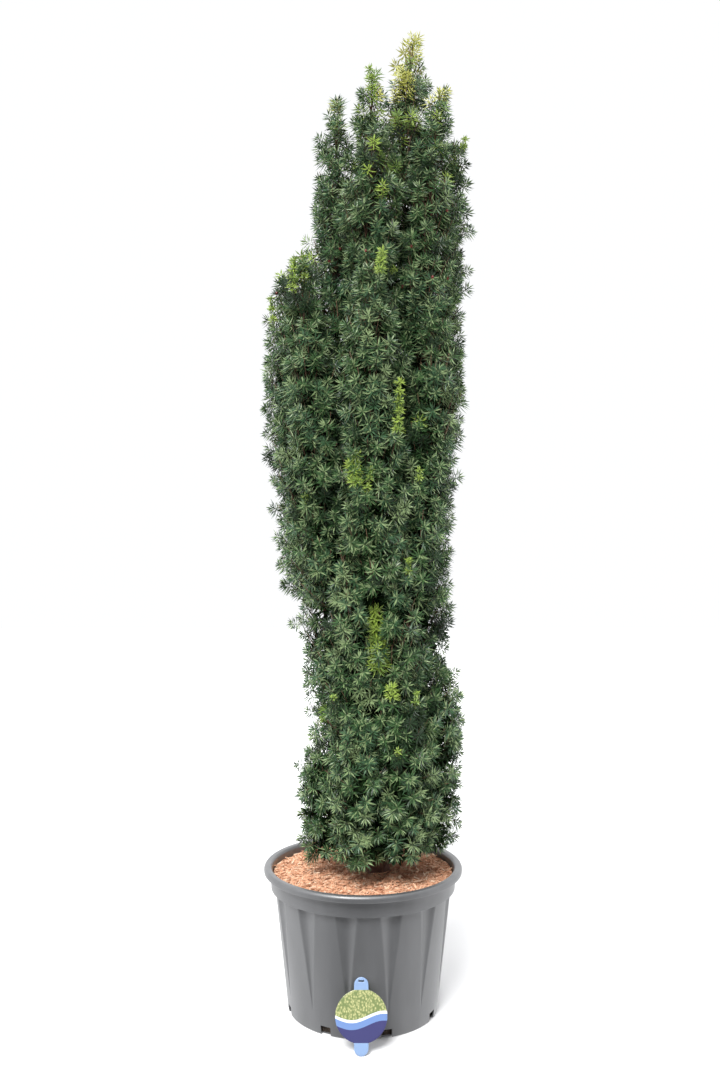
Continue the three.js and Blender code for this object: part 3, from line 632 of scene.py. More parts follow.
TRUNK_TWIG_LENGTHS = (0.08, 0.17)
TRUNK_TWIG_RISE = 0.7  # how far they rise for each metre that they lead out
TRUNK_TWIGS_INSIDE = (0.03, 0.5)  # their shoots end at least this deep in the crown, over this height
SHOOTS_PER_TWIG = 15
SHOOT_SPACING = 0.0125
SHOOT_LENGTH = (0.03, 0.05)
SHOOT_RADIUS = 0.0012
SIDE_SHOOT = 0.86  # the length of a side shoot, as a share of that of the one at the twig's end
SHOOT_FORK = (0.55, 0.95)  # how far a side shoot turns off its twig, in radians
BEARING = 0.78  # the outer share of a twig that bears shoots
SHOOT_SCALE = (0.85, 1.12)
HIGH = (2.35, 0.5)  # from this height on the crown counts as high, in full this much further up
LOW = (1.0, 0.4)  # and below this one as low, in full this much further down
OWN_WAY = 0.55  # a shoot's direction mixes its own way off the twig,
OUTWARD = (0.95, -0.35)  # the way out of the crown, with what is added high up,
UPWARD = (0.22, 0.3, -0.32)  # and the way up, with what is added high up and low down
SHOOT_REACH = (-0.028, -0.006)  # where shoots end, against the crown's surface
REACH_HIGH = 0.02  # and how much further out they end high up
REACH_FOOT = (0.75, 0.012)  # and under this height
LIMB_CLEAR = (0.025, 0.02)  # how far from limbs the shoots of plumes end, and those of the trunk
THINNING = (1.9, 0.07, 0.3)  # a, b and c: of the shoots at depth d a share of a - d / b stays, at least c
DEEP = 0.068  # shoots that end deeper than this in the crown have fewer and coarser needles, in a near-black tone of painted shade
SHOOT_CELL = (0.043, 0.042)  # spacing of the shoots above and below that depth
NEEDLE_SPACING = 0.00115
NEEDLE_LENGTH = 0.034
NEEDLE_WIDTH = 0.0046
NEEDLE_OPENS = (1.45, 0.75)  # how wide a needle opens at a shoot's foot, and how much less at its tip
NEEDLE_SAGS = 0.16
NEEDLE_KINDS = np.array([  # spacing, length and half the width on deep, new and other shoots, as shares
    (4, 1.7, 1), (1.25, 0.9, 1), (1.8, 0.5, 0.5),
])

leader_foot = trunk_line[-1]
leader_tip = np.array([*LEADER["tip"], LEADER["top"] - POINT * LEADER["girth"]])
plumes["leader"] = dict(LEADER, axis=(leader_foot, (leader_foot + leader_tip) / 2, leader_tip))


def girth_at(plume, share):
    """A plume's radius: blunt at the foot, a quarter sine out to its full girth, and a quarter cosine in to
    its tip."""
    quarter = math.pi / 2
    rising = plume["blunt"] + (1 - plume["blunt"]) * np.sin(quarter * np.minimum(1, share / FULL_FROM))
    fall = np.maximum(0, (share - FULL_TO) / (1 - FULL_TO))
    return plume["girth"] * rising * (POINT + (1 - POINT) * np.cos(quarter * fall**1.4))


# The crown's shape: a row of balls along each plume's axis, and points along the trunk and the boughs.
ball_shares = np.arange(AXIS_SAMPLES + 1) / AXIS_SAMPLES
ball_centres = np.stack([bezier(*plume["axis"], ball_shares) for plume in plumes.values()])
ball_radii = np.stack([girth_at(plume, ball_shares) for plume in plumes.values()])
ball_steps = np.linalg.norm(np.gradient(ball_centres, axis=1), axis=2)
ball_weights = ball_steps / np.sqrt(2 * math.pi * GROOVE * ball_radii)
limb_points = np.vstack([at_share(trunk_line, np.linspace(0, 1, 160)),
                         *[plume["bough"] for plume in plumes.values() if "bough" in plume]])


def distances(points, centres):
    """How far each point lies from each centre."""
    squares = (points**2).sum(1)[:, None] + (centres**2).sum(1) - 2 * points @ centres.T
    return np.sqrt(np.maximum(squares, 0))


def own_space(points, number, reach):
    """Whether points are in a plume's own space: within reach of it, or of the crown where the soft minimum
    over every plume, -k log sum w exp(-d / k), fills a groove; deeper in it than in any other plume; over
    the mulch and clear of the container's lip."""
    away = distances(points, ball_centres.reshape(-1, 3)).reshape(len(points), *ball_radii.shape)
    outside = (away[:, number] - ball_radii[number]).min(1)
    blended = (ball_weights * np.exp((ball_radii - away) / GROOVE)).sum((1, 2))
    open_up = SPIRES_OPEN * np.clip((points[:, 2] - SPIRES[0]) / (SPIRES[1] - SPIRES[0]), 0, 1)
    outside = np.minimum(outside, open_up - GROOVE * np.log(np.maximum(blended, 1e-9)))
    own = ((away[:, number] + MARGIN) / ball_radii[number]).min(1)
    others = ((away - MARGIN) / ball_radii).min(2)
    others[:, number] = np.inf
    clear = (points[:, 2] > LIP_CLEAR[0]) | (np.hypot(points[:, 0], points[:, 1]) < LIP_CLEAR[1])
    return (points[:, 2] > ABOVE_MULCH) & clear & (outside < reach) & (own < others.min(1))


def depth_in_crown(points):
    """How deep each point lies inside the whole crown, in metres."""
    return (ball_radii.reshape(-1) - distances(points, ball_centres.reshape(-1, 3))).max(1)


def stem_of(plume):
    """Points along a plume's axis."""
    return bezier(*plume["axis"], np.linspace(0, 1, 65))


def bent(start, along, reach, lift):
    """Five points along each twig, which bends upwards: start + along s + lift s^2, for s up to its reach."""
    way = np.linspace(0, 1, 5)[None, :, None] * reach[:, None, None]
    return start[:, None] + along[:, None] * way + np.array([0, 0, lift]) * way**2


def twigs_of(plume, number, draw):
    """The twigs of one plume. Each leaves the stem at a golden turn from the last, leaning out low down and
    nearly upright near the tip, bends upwards, and stops at the edge of the plume's space. Returns the
    twigs' paths and lengths."""
    stem = stem_of(plume)
    hangs = plume["lean"] > HANGING
    count = round(length_of(stem) / TWIG_SPACING * (HANGING_MORE if hangs else 1))
    share = 0.02 + 0.96 * (np.arange(count) + draw.uniform(size=count)) / count
    start = at_share(stem, share)
    tangent = unit(at_share(stem, np.minimum(1, share + 0.01)) - at_share(stem, np.maximum(0, share - 0.01)))
    angle = (np.arange(count) * GOLDEN + draw.uniform(-0.3, 0.3, count))[:, None]
    lean = plume["lean"] + (LEAN_TIP - plume["lean"]) * share**0.5
    lean = lean + draw.uniform(-LEAN_SPREAD, LEAN_SPREAD, count)
    lean = (lean + DROOP * (hangs & (share < HANGING_TO)) * draw.uniform(size=count))[:, None]
    along = np.sin(lean) * sideways(tangent, angle, (0, 1, 0)) + np.cos(lean) * tangent
    steps = np.arange(TWIG_STEP, TWIG_LENGTHS[1], TWIG_STEP)[:, None]
    lift = TWIG_LIFT[int(hangs)]
    paths = start[:, None] + along[:, None] * steps + np.array([0, 0, lift]) * steps**2
    edge = np.repeat(-draw.uniform(*TWIG_SUNK, count) * girth_at(plume, share), len(steps))
    inside = own_space(paths.reshape(-1, 3), number, edge).reshape(count, -1)
    reach = steps[np.maximum(0, np.cumprod(inside, axis=1).sum(1).astype(int) - 1), 0]
    kept = reach > TWIG_LENGTHS[0]
    return bent(start[kept], along[kept], reach[kept], lift), reach[kept]


def shoots_of(paths, reach, draw):
    """Shoots along the outer part of each twig, on alternate sides by the golden turn, and one that ends it.
    Returns the number of each one's twig, its root, direction and length."""
    twig = np.repeat(np.arange(len(paths)), SHOOTS_PER_TWIG)
    order = np.tile(np.arange(SHOOTS_PER_TWIG), len(paths))
    back = SHOOT_SPACING * (order + draw.uniform(0, 0.6, len(twig))) * (order > 0)
    length = draw.uniform(*SHOOT_LENGTH, len(twig)) * np.where(order == 0, 1.0, SIDE_SHOOT)
    back = np.where(order == 0, np.minimum(length, 0.7 * reach[twig]), back)
    kept = back < BEARING * reach[twig]
    twig, order, back, length = twig[kept], order[kept], back[kept], length[kept]
    place = 4 * (1 - back / reach[twig])
    lower = np.minimum(3, place.astype(int))
    share = (place - lower)[:, None]
    root = paths[twig, lower] * (1 - share) + paths[twig, lower + 1] * share
    ahead = unit(paths[twig, lower + 1] - paths[twig, lower])
    angle = (order * GOLDEN + twig * 1.7 + draw.uniform(-0.4, 0.4, len(twig)))[:, None]
    fork = np.where(order == 0, 0.0, draw.uniform(*SHOOT_FORK, len(twig)))[:, None]
    return twig, root, unit(np.cos(fork) * ahead + np.sin(fork) * sideways(ahead, angle)), length


def thinned(tips, cell, draw):
    """Which of the tips stay when no more than one may lie in each cell of an even grid."""
    order = draw.permutation(len(tips))
    cells = np.floor(tips[order] / cell).astype(np.int64)
    keys = cells @ np.array([1, 4096, 4096 * 4096])
    _, first = np.unique(keys, return_index=True)
    kept = np.zeros(len(tips), bool)
    kept[order[first]] = True
    return kept


def those_that(fit, twig, paths, draw, **shoots):
    """The shoots that fit, each with a scale for its needles, and the paths of the twigs that bear them."""
    shoots["scale"] = draw.uniform(*SHOOT_SCALE, len(twig))
    bearing = np.isin(np.arange(len(paths)), twig[fit])
    return dict(paths=paths[bearing], **{key: values[fit] for key, values in shoots.items()})


def grow(name, number):
    """The twigs and shoots of one plume. Its shoots turn outwards and upwards, are thinned to even spacing,
    are sparse deep in the crown, and are left out where they would touch the trunk or a bough."""
    plume = plumes[name]
    draw = np.random.default_rng(101 + 17 * number)
    paths, reach = twigs_of(plume, number, draw)
    stem = at_share(stem_of(plume), np.linspace(0, 1, 25))
    tip_way = unit(plume["axis"][2] - plume["axis"][1])
    top = plume["axis"][2] + tip_way * STEM_PAST_TIP * POINT * plume["girth"]
    stem_end = at_share(np.vstack([stem[-7:], top[None]]), np.linspace(0, 1, 5))
    twig, root, ahead, length = shoots_of(np.vstack([paths, stem_end[None]]),
                                          np.append(reach, length_of(stem_end)), draw)
    nearest = ball_centres[number][distances(root, ball_centres[number]).argmin(1)]
    outward = unit(unit((root - nearest) * (1, 1, 0.3)) + unit((root - trunk_at(1.5)) * (1, 1, 0)))
    high = np.clip((root[:, 2:] - HIGH[0]) / HIGH[1], 0, 1)
    low = np.clip((LOW[0] - root[:, 2:]) / LOW[1], 0, 1)
    ahead = unit(OWN_WAY * ahead + (OUTWARD[0] + OUTWARD[1] * high) * outward
                 + (UPWARD[0] + UPWARD[1] * high + UPWARD[2] * low) * (0, 0, 1))
    tip = root + ahead * length[:, None]
    depth = depth_in_crown(tip)
    edge = draw.uniform(*SHOOT_REACH, len(tip)) + REACH_HIGH * high[:, 0]
    edge = edge + REACH_FOOT[1] * (root[:, 2] < REACH_FOOT[0])
    fit = own_space(tip, number, edge) & (distances(tip, limb_points).min(1) > LIMB_CLEAR[0])
    fit |= twig == len(paths)
    fit &= draw.uniform(size=len(tip)) < np.clip(THINNING[0] - depth / THINNING[1], THINNING[2], 1)
    for part, cell in zip((depth < DEEP, depth >= DEEP), SHOOT_CELL):
        fit[fit & part] = thinned(tip[fit & part], cell, draw)
    kept = those_that(fit, twig, paths, draw, root=root, ahead=ahead, length=length, tip=tip, depth=depth)
    return dict(kept, stem=np.vstack([stem, top]))


def trunk_shoots(draw):
    """Short twigs straight out of the trunk, inside the crown, with the same shoots as the plumes' twigs."""
    height = draw.uniform(*TRUNK_TWIG_HEIGHTS, TRUNK_TWIGS)
    start = np.array([trunk_at(z) for z in height])
    angle = (np.arange(TRUNK_TWIGS) * GOLDEN)[:, None]
    along = unit(np.concatenate([np.cos(angle), np.sin(angle), TRUNK_TWIG_RISE + 0 * angle], axis=1))
    reach = draw.uniform(*TRUNK_TWIG_LENGTHS, TRUNK_TWIGS)
    paths = bent(start, along, reach, 1)
    twig, root, ahead, length = shoots_of(paths, reach, draw)
    tip = root + ahead * length[:, None]
    depth = depth_in_crown(tip)
    fit = (depth > TRUNK_TWIGS_INSIDE[0]) & (tip[:, 2] > TRUNK_TWIGS_INSIDE[1])
    fit &= distances(tip, limb_points).min(1) > LIMB_CLEAR[1]
    fit[fit] = thinned(tip[fit], SHOOT_CELL[1], draw)
    return those_that(fit, twig, paths, draw, root=root, ahead=ahead, length=length, tip=tip, depth=depth)


grown = {name: grow(name, number) for number, name in enumerate(plumes)}
grown["trunk"] = trunk_shoots(np.random.default_rng(55))

TONES = dict(  # of a needle's upper side and its underside
    # deep: near-black needles deep in the crown, painted shade for the dark inside of the foliage
    deep=((0.01, 0.023, 0.007), (0.022, 0.04, 0.015)),
    dark=((0.014, 0.036, 0.012), (0.03, 0.055, 0.02)),
    leaf=((0.046, 0.108, 0.034), (0.084, 0.145, 0.052)),
    blue=((0.044, 0.108, 0.046), (0.084, 0.148, 0.066)),
    # pale: paler green needles, partly real tone and partly a painted highlight of their gloss
    pale=((0.21, 0.29, 0.13), (0.24, 0.32, 0.15)),
    fresh=((0.27, 0.38, 0.06), (0.3, 0.4, 0.1)),
    lime=((0.15, 0.25, 0.045), (0.2, 0.29, 0.08)),
    gold=((0.44, 0.45, 0.09), (0.46, 0.46, 0.14)),
)
DEEP_SHADE_TONE, DARK, LEAF, BLUE, PALE_SHEEN, FRESH, LIME, GOLD = range(len(TONES))
PALE_SHEEN_SHARE = 0.28  # the share of a green shoot's needles that are paler than the rest, partly real tone and partly painted highlight
DARK_SHARE = 0.25  # and darker
GOLD_ABOVE = 2.9  # new growth is golden over this height
NEW_SHOOTS = (  # x, height of the foot, height of the tip and length of the longest side shoot
    (0.037, 1.06, 1.296, 0.042), (0.111, 1.783, 1.996, 0.02), (-0.04, 1.66, 1.75, 0.026),
    (-0.018, 1.69, 1.775, 0.02), (0.058, 2.307, 2.389, 0.022), (0.1, 2.33, 2.37, 0.016),
    (0.087, 0.988, 1.06, 0.026), (0.141, 1.41, 1.458, 0.012), (-0.176, 1.604, 1.655, 0.016),
    (0.008, 1.607, 1.663, 0.014), (0.026, 1.694, 1.733, 0.012), (0.171, 1.694, 1.733, 0.012),
    (0.165, 1.01, 1.045, 0.012), (-0.091, 0.995, 1.03, 0.012), (-0.131, 0.945, 0.98, 0.012),
    (0.105, 0.85, 0.88, 0.01), (0.108, 1.08, 1.12, 0.014), (-0.295, 2.21, 2.29, 0.016),
    (-0.214, 2.28, 2.385, 0.02), (-0.185, 2.32, 2.395, 0.016), (0.335, 2.78, 2.83, 0.014),
    (0.02, 2.9, 2.99, 0.02),
)
WHORL_SPACING = 0.032  # from one whorl of side shoots to the next
WHORL = 5
WHORL_TURN = 1.257  # a fifth of a turn
FOOT_NEAR = (0.04, 0.05)  # how far beside, and over or under, its given foot a new shoot may start
SHORTEST_NEW = 0.02
FRESH_PLACES = np.array([  # x, z and radius of patches of new growth on the front, and the share of it there
    (0.165, 3.14, 0.075, 1.0), (0.14, 3.05, 0.045, 1.0), (0.13, 2.98, 0.045, 0.9), (0.03, 2.99, 0.06, 0.8),
    (-0.2, 2.38, 0.07, 0.4), (-0.28, 2.25, 0.06, 0.4), (0.32, 2.75, 0.06, 0.4), (0.1, 2.75, 0.2, 0.1),
    (-0.09, 2.9, 0.06, 0.35), (0.02, 2.9, 0.06, 0.4), (0.13, 2.9, 0.07, 0.5), (0.27, 2.9, 0.06, 0.35),
])
FRESH_ELSEWHERE = 0.003


def tones_of(shoots, draw):
    """A tone for each shoot: near black deep in the crown, as painted shade there; drifting between dark,
    plain, blue and pale green outside, the pale partly a painted highlight; and fresh where new growth is."""
    tip = shoots["tip"]
    drift = ripples(tip, 0.22, 16, draw) + draw.normal(0, 0.55, len(tip))
    # Shoots deep in the crown get the near-black tone of painted shade.
    tone = np.select([shoots["depth"] > DEEP, drift < -1.2, drift < 0.3, drift < 1.3],
                     [DEEP_SHADE_TONE, DARK, LEAF, BLUE], PALE_SHEEN)
    near = np.hypot(tip[:, :1] - FRESH_PLACES[:, 0], tip[:, 2:] - FRESH_PLACES[:, 1]) < FRESH_PLACES[:, 2]
    chance = (near * FRESH_PLACES[:, 3]).max(1) * (tip[:, 1] < 0.08)
    chance = np.where(shoots["depth"] < 0.05, np.maximum(chance, FRESH_ELSEWHERE), 0)
    fresh = draw.uniform(size=len(tip)) < chance
    leading = tip[:, 2] > GOLD_ABOVE
    lime = draw.uniform(size=len(tip)) < np.where(leading, 0.25, 0.45)
    return np.where(fresh, np.where(lime, LIME, np.where(leading, GOLD, FRESH)), tone)


def spikes(foot, tip, radius):
    """A three-sided spike from each foot to its tip: four triangles."""
    angle = 2 * math.pi * np.arange(3)[:, None] / 3
    ring = foot[:, None] + radius * sideways(unit(tip - foot)[:, None], angle)
    faces = np.array([(0, 2, 1), (0, 1, 3), (1, 2, 3), (2, 0, 3)])
    return np.concatenate([ring, tip[:, None]], axis=1).reshape(-1, 3), repeated(faces, 4, len(foot))


def needles_of(shoots, tone, draw):
    """The needles of some shoots. They wind up each shoot at the golden turn, opening wide at its foot and
    closing round its tip. Each is a closed sliver of four faces: a keeled upper side, which faces the
    shoot's tip, and a flat underside. Some needles of a green shoot are darker than the rest, and some
    paler, partly in real tone and partly as a painted highlight of their gloss. Deep shoots have a quarter
    as many needles, and broader. Returns points, faces and each face's finish."""
    length, scale = shoots["length"], shoots["scale"]
    kind = np.select([shoots["depth"] > DEEP, tone > PALE_SHEEN], [0, 1], 2)
    spacing, longer, half_width = NEEDLE_KINDS[:, kind]
    counts = np.ceil(length / NEEDLE_SPACING / spacing).astype(int)
    shoot = np.repeat(np.arange(len(length)), counts)
    order = np.arange(len(shoot)) - np.repeat(np.cumsum(counts) - counts, counts)
    share = ((order + 0.5) / counts[shoot])[:, None] ** 0.5
    stem = shoots["ahead"][shoot]
    turn = (order * GOLDEN + shoot * 1.3)[:, None] + draw.uniform(-0.25, 0.25, (len(shoot), 1))
    opening = NEEDLE_OPENS[0] - NEEDLE_OPENS[1] * share**4 + draw.normal(0, 0.13, (len(shoot), 1))
    along = unit(np.cos(opening) * stem + np.sin(opening) * sideways(stem, turn) - (0, 0, NEEDLE_SAGS))
    side = unit(np.cross(stem, along))
    lift = np.cross(along, side)
    size = NEEDLE_LENGTH * (0.66 + 0.42 * np.sin(math.pi * share**0.8))
    size = size * draw.uniform(0.85, 1.12, (len(shoot), 1)) * (scale * longer)[shoot][:, None]
    half = NEEDLE_WIDTH * half_width[shoot][:, None] * side
    base = shoots["root"][shoot] + stem * (length[shoot][:, None] * share)
    middle = base + along * size * 0.5 - lift * 0.0012
    corners = np.stack([base, base + along * size + lift * 0.05 * size, middle + half, middle - half], axis=1)
    faces = repeated(np.array([(0, 1, 2), (0, 3, 1), (0, 2, 3), (1, 3, 2)]), 4, len(shoot))
    own = tone[shoot]
    chance = draw.uniform(size=len(own))
    green = (own >= LEAF) & (own <= PALE_SHEEN)
    # Paler needles here are partly real tone and partly painted highlight; the darker ones differ at random.
    own = np.select([green & (chance < PALE_SHEEN_SHARE), green & (chance > 1 - DARK_SHARE)], [PALE_SHEEN, DARK], own)
    finishes = 2 * own[:, None] + np.array([0, 0, 1, 1])
    return corners.reshape(-1, 3), faces, finishes.reshape(-1)


needle_finishes = []
for tone_name, (upper, under) in TONES.items():
    # The deep needles' low shine is painted shade, like their near-black colour.
    gloss = finish(f"needle_{tone_name}", upper, 0.42, shine=0.05 if tone_name == "deep" else 0.5)
    matt = finish(f"needle_{tone_name}_underside", under, 0.7, shine=0.1)
    needle_finishes += [gloss, matt]
twig_barks = [bark("twig_bark", ((0.1, 0.055, 0.03), (0.17, 0.1, 0.055)), 120),
              finish("twig_green", (0.085, 0.11, 0.035), 0.55)]

groups = {}
for name in plumes:
    tier_name = name.split("_")[0]
    tip_x, tip_y = plumes[name]["axis"][2][:2]
    side_name = ("_front" if tip_y < 0 else "_back") + ("_left" if tip_x < 0.06 else "_right")
    groups.setdefault(tier_name + side_name * (name != "leader"), []).append(name)
groups["trunk"] = ["trunk"]


def new_shoots(draw):
    """Long shoots of new growth that stand up in front of the crown. Each starts from the tip of the
    foremost shoot near its place, and carries whorls of short side shoots."""
    tips = np.concatenate([shoots["tip"] for shoots in grown.values()])
    parts = []
    for x, low, high, side_length in NEW_SHOOTS:
        beside = np.abs(tips[:, 0] - x)
        near = (beside < FOOT_NEAR[0]) & (np.abs(tips[:, 2] - low) < FOOT_NEAR[1])
        near &= tips[:, 2] < high - SHORTEST_NEW
        foot = tips[near][(tips[near, 1] + 2 * beside[near]).argmin()]
        length = high - foot[2]
        ahead = unit(np.array([x - foot[0], 0.012, length]))
        whorls = max(1, round(length / WHORL_SPACING))
        whorl = np.repeat(np.arange(whorls), WHORL)
        share = (whorl + 0.75)[:, None] / whorls
        angle = (whorl * GOLDEN + WHORL_TURN * np.arange(len(whorl)))[:, None]
        side = np.concatenate([np.cos(angle), np.sin(angle), 0 * angle], axis=1)
        side_lengths = side_length * (1 - 0.5 * share[:, 0]) * draw.uniform(0.6, 1, len(whorl))
        side_scales = np.full(len(whorl), np.clip(side_length / 0.03, 0.55, 1))
        parts.append((foot[None], ahead[None], [length], [0.35]))
        parts.append((foot + ahead * length * share, unit(side + 0.8 * ahead), side_lengths, side_scales))
    root, ahead, length, scale = (np.concatenate(values) for values in zip(*parts))
    return dict(root=root, ahead=ahead, length=length, depth=0 * length, scale=scale,
                tip=root + ahead * length[:, None])


def dress(name, shoots, tone, limbs, draw):
    """The needles of some shoots as one piece, and their twigs, with other limbs, as another."""
    points, faces, finishes = needles_of(shoots, tone, draw)
    needles = piece(f"needles_{name}", points, faces, needle_finishes, "needles", finishes, smooth=False)
    made = [*limbs, spikes(shoots["root"], shoots["tip"], SHOOT_RADIUS)]
    starts = np.cumsum([0] + [len(points) for points, faces in made])
    twig_tones = np.repeat([0] * len(limbs) + [1], [len(faces) for points, faces in made])
    piece(f"twigs_{name}", np.vstack([points for points, faces in made]),
          np.vstack([faces + start for (points, faces), start in zip(made, starts)]),
          twig_barks, "bark", tones=twig_tones)
    return needles


tone_draw = np.random.default_rng(31)
upright = new_shoots(tone_draw)
upright_tones = tone_draw.choice([FRESH, LIME], len(upright["root"]), p=[0.7, 0.3])
dress("new_shoots", upright, upright_tones, [], tone_draw)
for group_name, names in groups.items():
    shoots = {key: np.concatenate([grown[name][key] for name in names])
              for key in ("root", "ahead", "length", "tip", "depth", "scale", "paths")}
    tone = tones_of(shoots, tone_draw)
    twig_paths = shoots["paths"][:, ::2]
    limbs = [tubes(twig_paths, np.repeat(np.linspace(*TWIG_RADII, 3)[None], len(twig_paths), 0), 3)]
    if group_name == "trunk":
        dress(group_name, shoots, tone, limbs, tone_draw)
        continue
    stems = np.stack([grown[name]["stem"] for name in names])
    stem_radii = np.linspace(BOUGH_TIP_RADIUS, STEM_TIP_RADIUS, stems.shape[1])
    limbs.append(tubes(stems, np.repeat(stem_radii[None], len(names), 0), 6))
    needles = dress(group_name, shoots, tone, limbs, tone_draw)
    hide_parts(*[f"foliage_{name}" for name in names])

# ---------- Fruit ----------
# A few ripe arils, soft red cups a little under a centimetre across, each on a shoot near the surface.

FRUIT_PLACES = np.array([
    (0.11, 2.52), (0.23, 2.53), (0.175, 2.44), (0.265, 2.33), (0.12, 2.31), (-0.085, 2.42), (-0.094, 2.4),
    (0.28, 2.13), (0.29, 1.97),
])
FRUIT_RADIUS = 0.0048
FRUIT_LONG = 1.15  # an aril's length, as a share of its width
MORE_FRUIT = 14
MORE_FRUIT_ABOVE = 1.6
FRUIT_RED = (0.15, 0.02, 0.016)


def fruit_mesh(centres):
    """Small globes of six rings and eight sides, a little longer than wide."""
    polar = np.linspace(0, math.pi, 6)
    paths = centres[:, None] - np.array([0, 0, 1]) * (FRUIT_RADIUS * FRUIT_LONG * np.cos(polar))[:, None]
    radii = np.repeat(FRUIT_RADIUS * np.maximum(np.sin(polar), 0.12)[None], len(centres), 0)
    return tubes(paths, radii, 8)


fruit_draw = np.random.default_rng(77)
every_tip = np.concatenate([shoots["tip"][shoots["depth"] < 0.03] for shoots in grown.values()])
facing = every_tip[every_tip[:, 1] < -0.08]
chosen = [facing[np.hypot(facing[:, 0] - x, facing[:, 2] - z).argmin()] for x, z in FRUIT_PLACES]
higher = every_tip[every_tip[:, 2] > MORE_FRUIT_ABOVE]
chosen += list(higher[fruit_draw.choice(len(higher), MORE_FRUIT, replace=False)])
piece("arils", *fruit_mesh(np.array(chosen)), [finish("aril_red", FRUIT_RED, 0.38)], "needles")

# ---------- Plant label ----------
# A printed card of stiff polypropylene, oval with a round tab at each end, leaning on the container. The
# print is generic: a green hedge over a blue ground, parted by a white wave.

LABEL_HALF = (0.0775, 0.0745)  # half the oval's width and height
LABEL_TAB_RADIUS = 0.0215
LABEL_SHOULDER = 0.0855  # how far from the card's middle the round end of a tab is centred
LABEL_THICK = 0.002
SLIT = (0.017, 0.004, 0.02)
SLIT_PLACE = (0, 0.096, 0)
PRINT_SIZE = (0.155, 0.214)  # the width and height that the print's coordinates run over, from 0 to 1
WAVE = (5.0, 0.06)  # how close and how high the print's wave swings
BANDS = (  # each band's height in the print and its colour: dark blue, pale blue and white
    (0, (0.045, 0.045, 0.13)), (0.385, (0.13, 0.21, 0.42)), (0.47, (0.62, 0.65, 0.72)),
)
HEDGE_FROM = 0.51
HEDGE_CELLS = 30.0
HEDGE_GREENS = ((0, (0.52, 0.5, 0.24)), (0.65, (0.15, 0.19, 0.075)))  # from the middle of a cell outwards
TABS_FROM = 0.335
TAB_BLUE = (0.2, 0.29, 0.46, 1)


def label_outline(angle):
    """How far the card's edge lies from its middle: the farther of the oval and the two round-ended tabs."""
    cos, sin = np.abs(np.cos(angle)), np.abs(np.sin(angle))
    oval = 1 / np.sqrt((cos / LABEL_HALF[0]) ** 2 + (sin / LABEL_HALF[1]) ** 2)
    side = LABEL_TAB_RADIUS / np.maximum(cos, 1e-6)
    inside = np.maximum(LABEL_TAB_RADIUS**2 - (LABEL_SHOULDER * cos) ** 2, 0)
    tab = np.where(side * sin < LABEL_SHOULDER, side, LABEL_SHOULDER * sin + np.sqrt(inside))
    return (oval**60 + tab**60) ** (1 / 60)


def label_card():
    """Rings from the middle of the back out to the edge and in again over the front, laid flat."""
    angle = np.linspace(0, 2 * math.pi, 300, endpoint=False)
    inner = np.linspace(0.04, 0.985, 16)
    edge = np.concatenate([inner, [1, 1], inner[::-1]])[:, None] * label_outline(angle)
    level = LABEL_THICK * np.repeat([-0.5, -0.25, 0.25, 0.5], [16, 1, 1, 16])[:, None]
    rings = np.stack([edge * np.cos(angle), edge * np.sin(angle), level + 0 * angle], axis=2)
    return closed(rings, (0, 0, -LABEL_THICK / 2), (0, 0, LABEL_THICK / 2))


def maths(tree, operation, *values):
    """What a Math node makes of these values and sockets."""
    return node(tree, "ShaderNodeMath", dict(enumerate(values)), operation=operation).outputs[0]


def ramp(tree, share, stops, kind):
    """The colour at a share of the way over the stops, each a place and a colour."""
    made = node(tree, "ShaderNodeValToRGB", {0: share})
    made.color_ramp.interpolation = kind
    elements = made.color_ramp.elements
    elements[0].position, elements[1].position = stops[0][0], stops[-1][0]
    for place, _ in stops[1:-1]:
        elements.new(place)
    for element, (_, colour) in zip(elements, stops):
        element.color = (*colour, 1)
    return made.outputs[0]


def label_print():
    """The print, in the card's own coordinates: bands parted by a wave, y + a sin k x, over them a hedge in
    two greens made of small cells, and plain tabs."""
    material = bpy.data.materials.new("label_print")
    material.use_nodes = True
    tree = material.node_tree
    shader = tree.nodes["Principled BSDF"]
    shader.inputs["Roughness"].default_value = 0.25
    place = node(tree, "ShaderNodeUVMap", {}, uv_map="card").outputs[0]
    x, y = node(tree, "ShaderNodeSeparateXYZ", {0: place}).outputs[:2]
    swing = maths(tree, "SINE", maths(tree, "MULTIPLY", x, WAVE[0]))
    waved = maths(tree, "MULTIPLY_ADD", swing, WAVE[1], y)
    cells = node(tree, "ShaderNodeTexVoronoi", {"Vector": place, "Scale": HEDGE_CELLS}).outputs[0]
    bands = ramp(tree, waved, BANDS, "CONSTANT")
    hedge = ramp(tree, cells, HEDGE_GREENS, "LINEAR")
    picture = mixed(tree, maths(tree, "GREATER_THAN", waved, HEDGE_FROM), bands, hedge)
    from_middle = maths(tree, "ABSOLUTE", maths(tree, "SUBTRACT", y, 0.5))
    whole = mixed(tree, maths(tree, "GREATER_THAN", from_middle, TABS_FROM), picture, TAB_BLUE)
    tree.links.new(whole, shader.inputs["Base Color"])
    return material


# The card is cut flat, gets its own coordinates, and is then leaned against the container's wall.
low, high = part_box("plant_label")
card = piece("label_card", *label_card(), [label_print()], "label")
cut_out(card, BOX_CORNERS * SLIT + SLIT_PLACE, BOX_FACES)
corner_points = np.zeros(len(card.data.loops), np.int32)
card.data.loops.foreach_get("vertex_index", corner_points)
flat = np.zeros(3 * len(card.data.vertices))
card.data.vertices.foreach_get("co", flat)
flat = flat.reshape(-1, 3)
card_map = card.data.uv_layers.new(name="card")
card_map.data.foreach_set("uv", (flat[corner_points, :2] / PRINT_SIZE + 0.5).ravel())
lean = math.atan2(high.z - low.z, high.y - low.y)
card_axes = np.array([(1, 0, 0), (0, math.cos(lean), math.sin(lean)), (0, -math.sin(lean), math.cos(lean))])
leaned = (np.array(low) + np.array(high)) / 2 + flat @ card_axes
card.data.vertices.foreach_set("co", leaned.ravel())
card.data.update()
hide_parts("plant_label")

# ---------- Floor and light ----------
# A plain near-white floor, even white light from all round, and one broad soft light from the upper left.

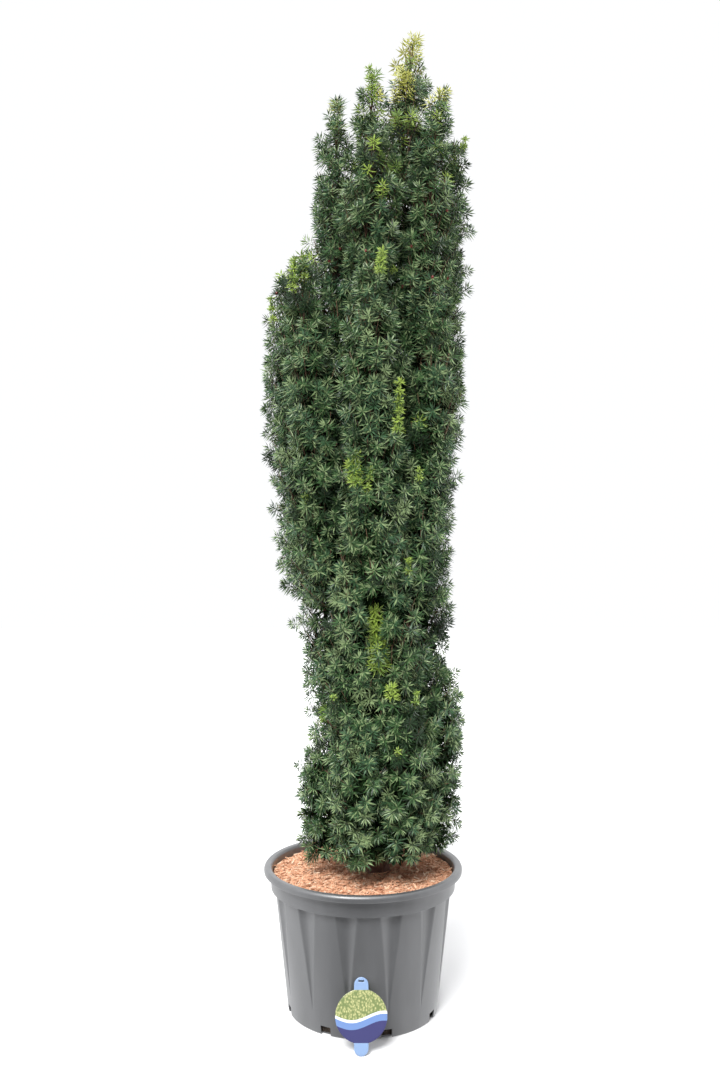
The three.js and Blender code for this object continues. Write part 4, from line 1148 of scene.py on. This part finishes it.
FLOOR_HALF = 14
FLOOR_WHITE = (0.86, 0.86, 0.86)
SUN_WAY = (-0.35, -0.85, 1.15)
SUN_SPREAD = 0.5
SUN_POWER = 4.6
SKY_WHITE = (0.98, 0.985, 1, 1)
SKY_SEEN = 1.02  # how bright the sky is where the camera looks at it
SKY_LIGHT = (0.12, 1.3)  # and as a light, from the front, where it is dim, and from the sides and the back
SKY_FADE = (-0.85, -0.2)  # the directions, in y, that the first goes over into the second between

floor_mesh = bpy.data.meshes.new("floor")
floor_corners = [(x * FLOOR_HALF, y * FLOOR_HALF, 0) for x, y in ((-1, -1), (1, -1), (1, 1), (-1, 1))]
floor_mesh.from_pydata(floor_corners, [], [(0, 1, 2, 3)])
floor_mesh.materials.append(finish("floor_white", FLOOR_WHITE, 0.6))
floor = bpy.data.objects.new("floor", floor_mesh)
bpy.context.scene.collection.objects.link(floor)
floor.visible_glossy = False

sunlight = bpy.data.lights.new("key", "SUN")
sunlight.angle = SUN_SPREAD
sunlight.energy = SUN_POWER
key = bpy.data.objects.new("key", sunlight)
key.rotation_euler = Vector(SUN_WAY).to_track_quat("Z", "Y").to_euler()
bpy.context.scene.collection.objects.link(key)

world = bpy.data.worlds.new("studio")
bpy.context.scene.world = world
world.use_nodes = True
sky = world.node_tree.nodes["Background"]
sky.inputs["Color"].default_value = SKY_WHITE
seen = node(world.node_tree, "ShaderNodeLightPath", {}).outputs["Is Camera Ray"]
way = node(world.node_tree, "ShaderNodeTexCoord", {}).outputs["Generated"]
depthwise = node(world.node_tree, "ShaderNodeSeparateXYZ", {0: way}).outputs[1]
lit = node(world.node_tree, "ShaderNodeMapRange", {
    "Value": depthwise, "From Min": SKY_FADE[0], "From Max": SKY_FADE[1], "To Min": SKY_LIGHT[0],
    "To Max": SKY_LIGHT[1]}).outputs[0]
strength = node(world.node_tree, "ShaderNodeMapRange", {"Value": seen, "To Min": lit, "To Max": SKY_SEEN})
world.node_tree.links.new(strength.outputs[0], sky.inputs["Strength"])
bpy.context.scene.view_settings.view_transform = "Standard"
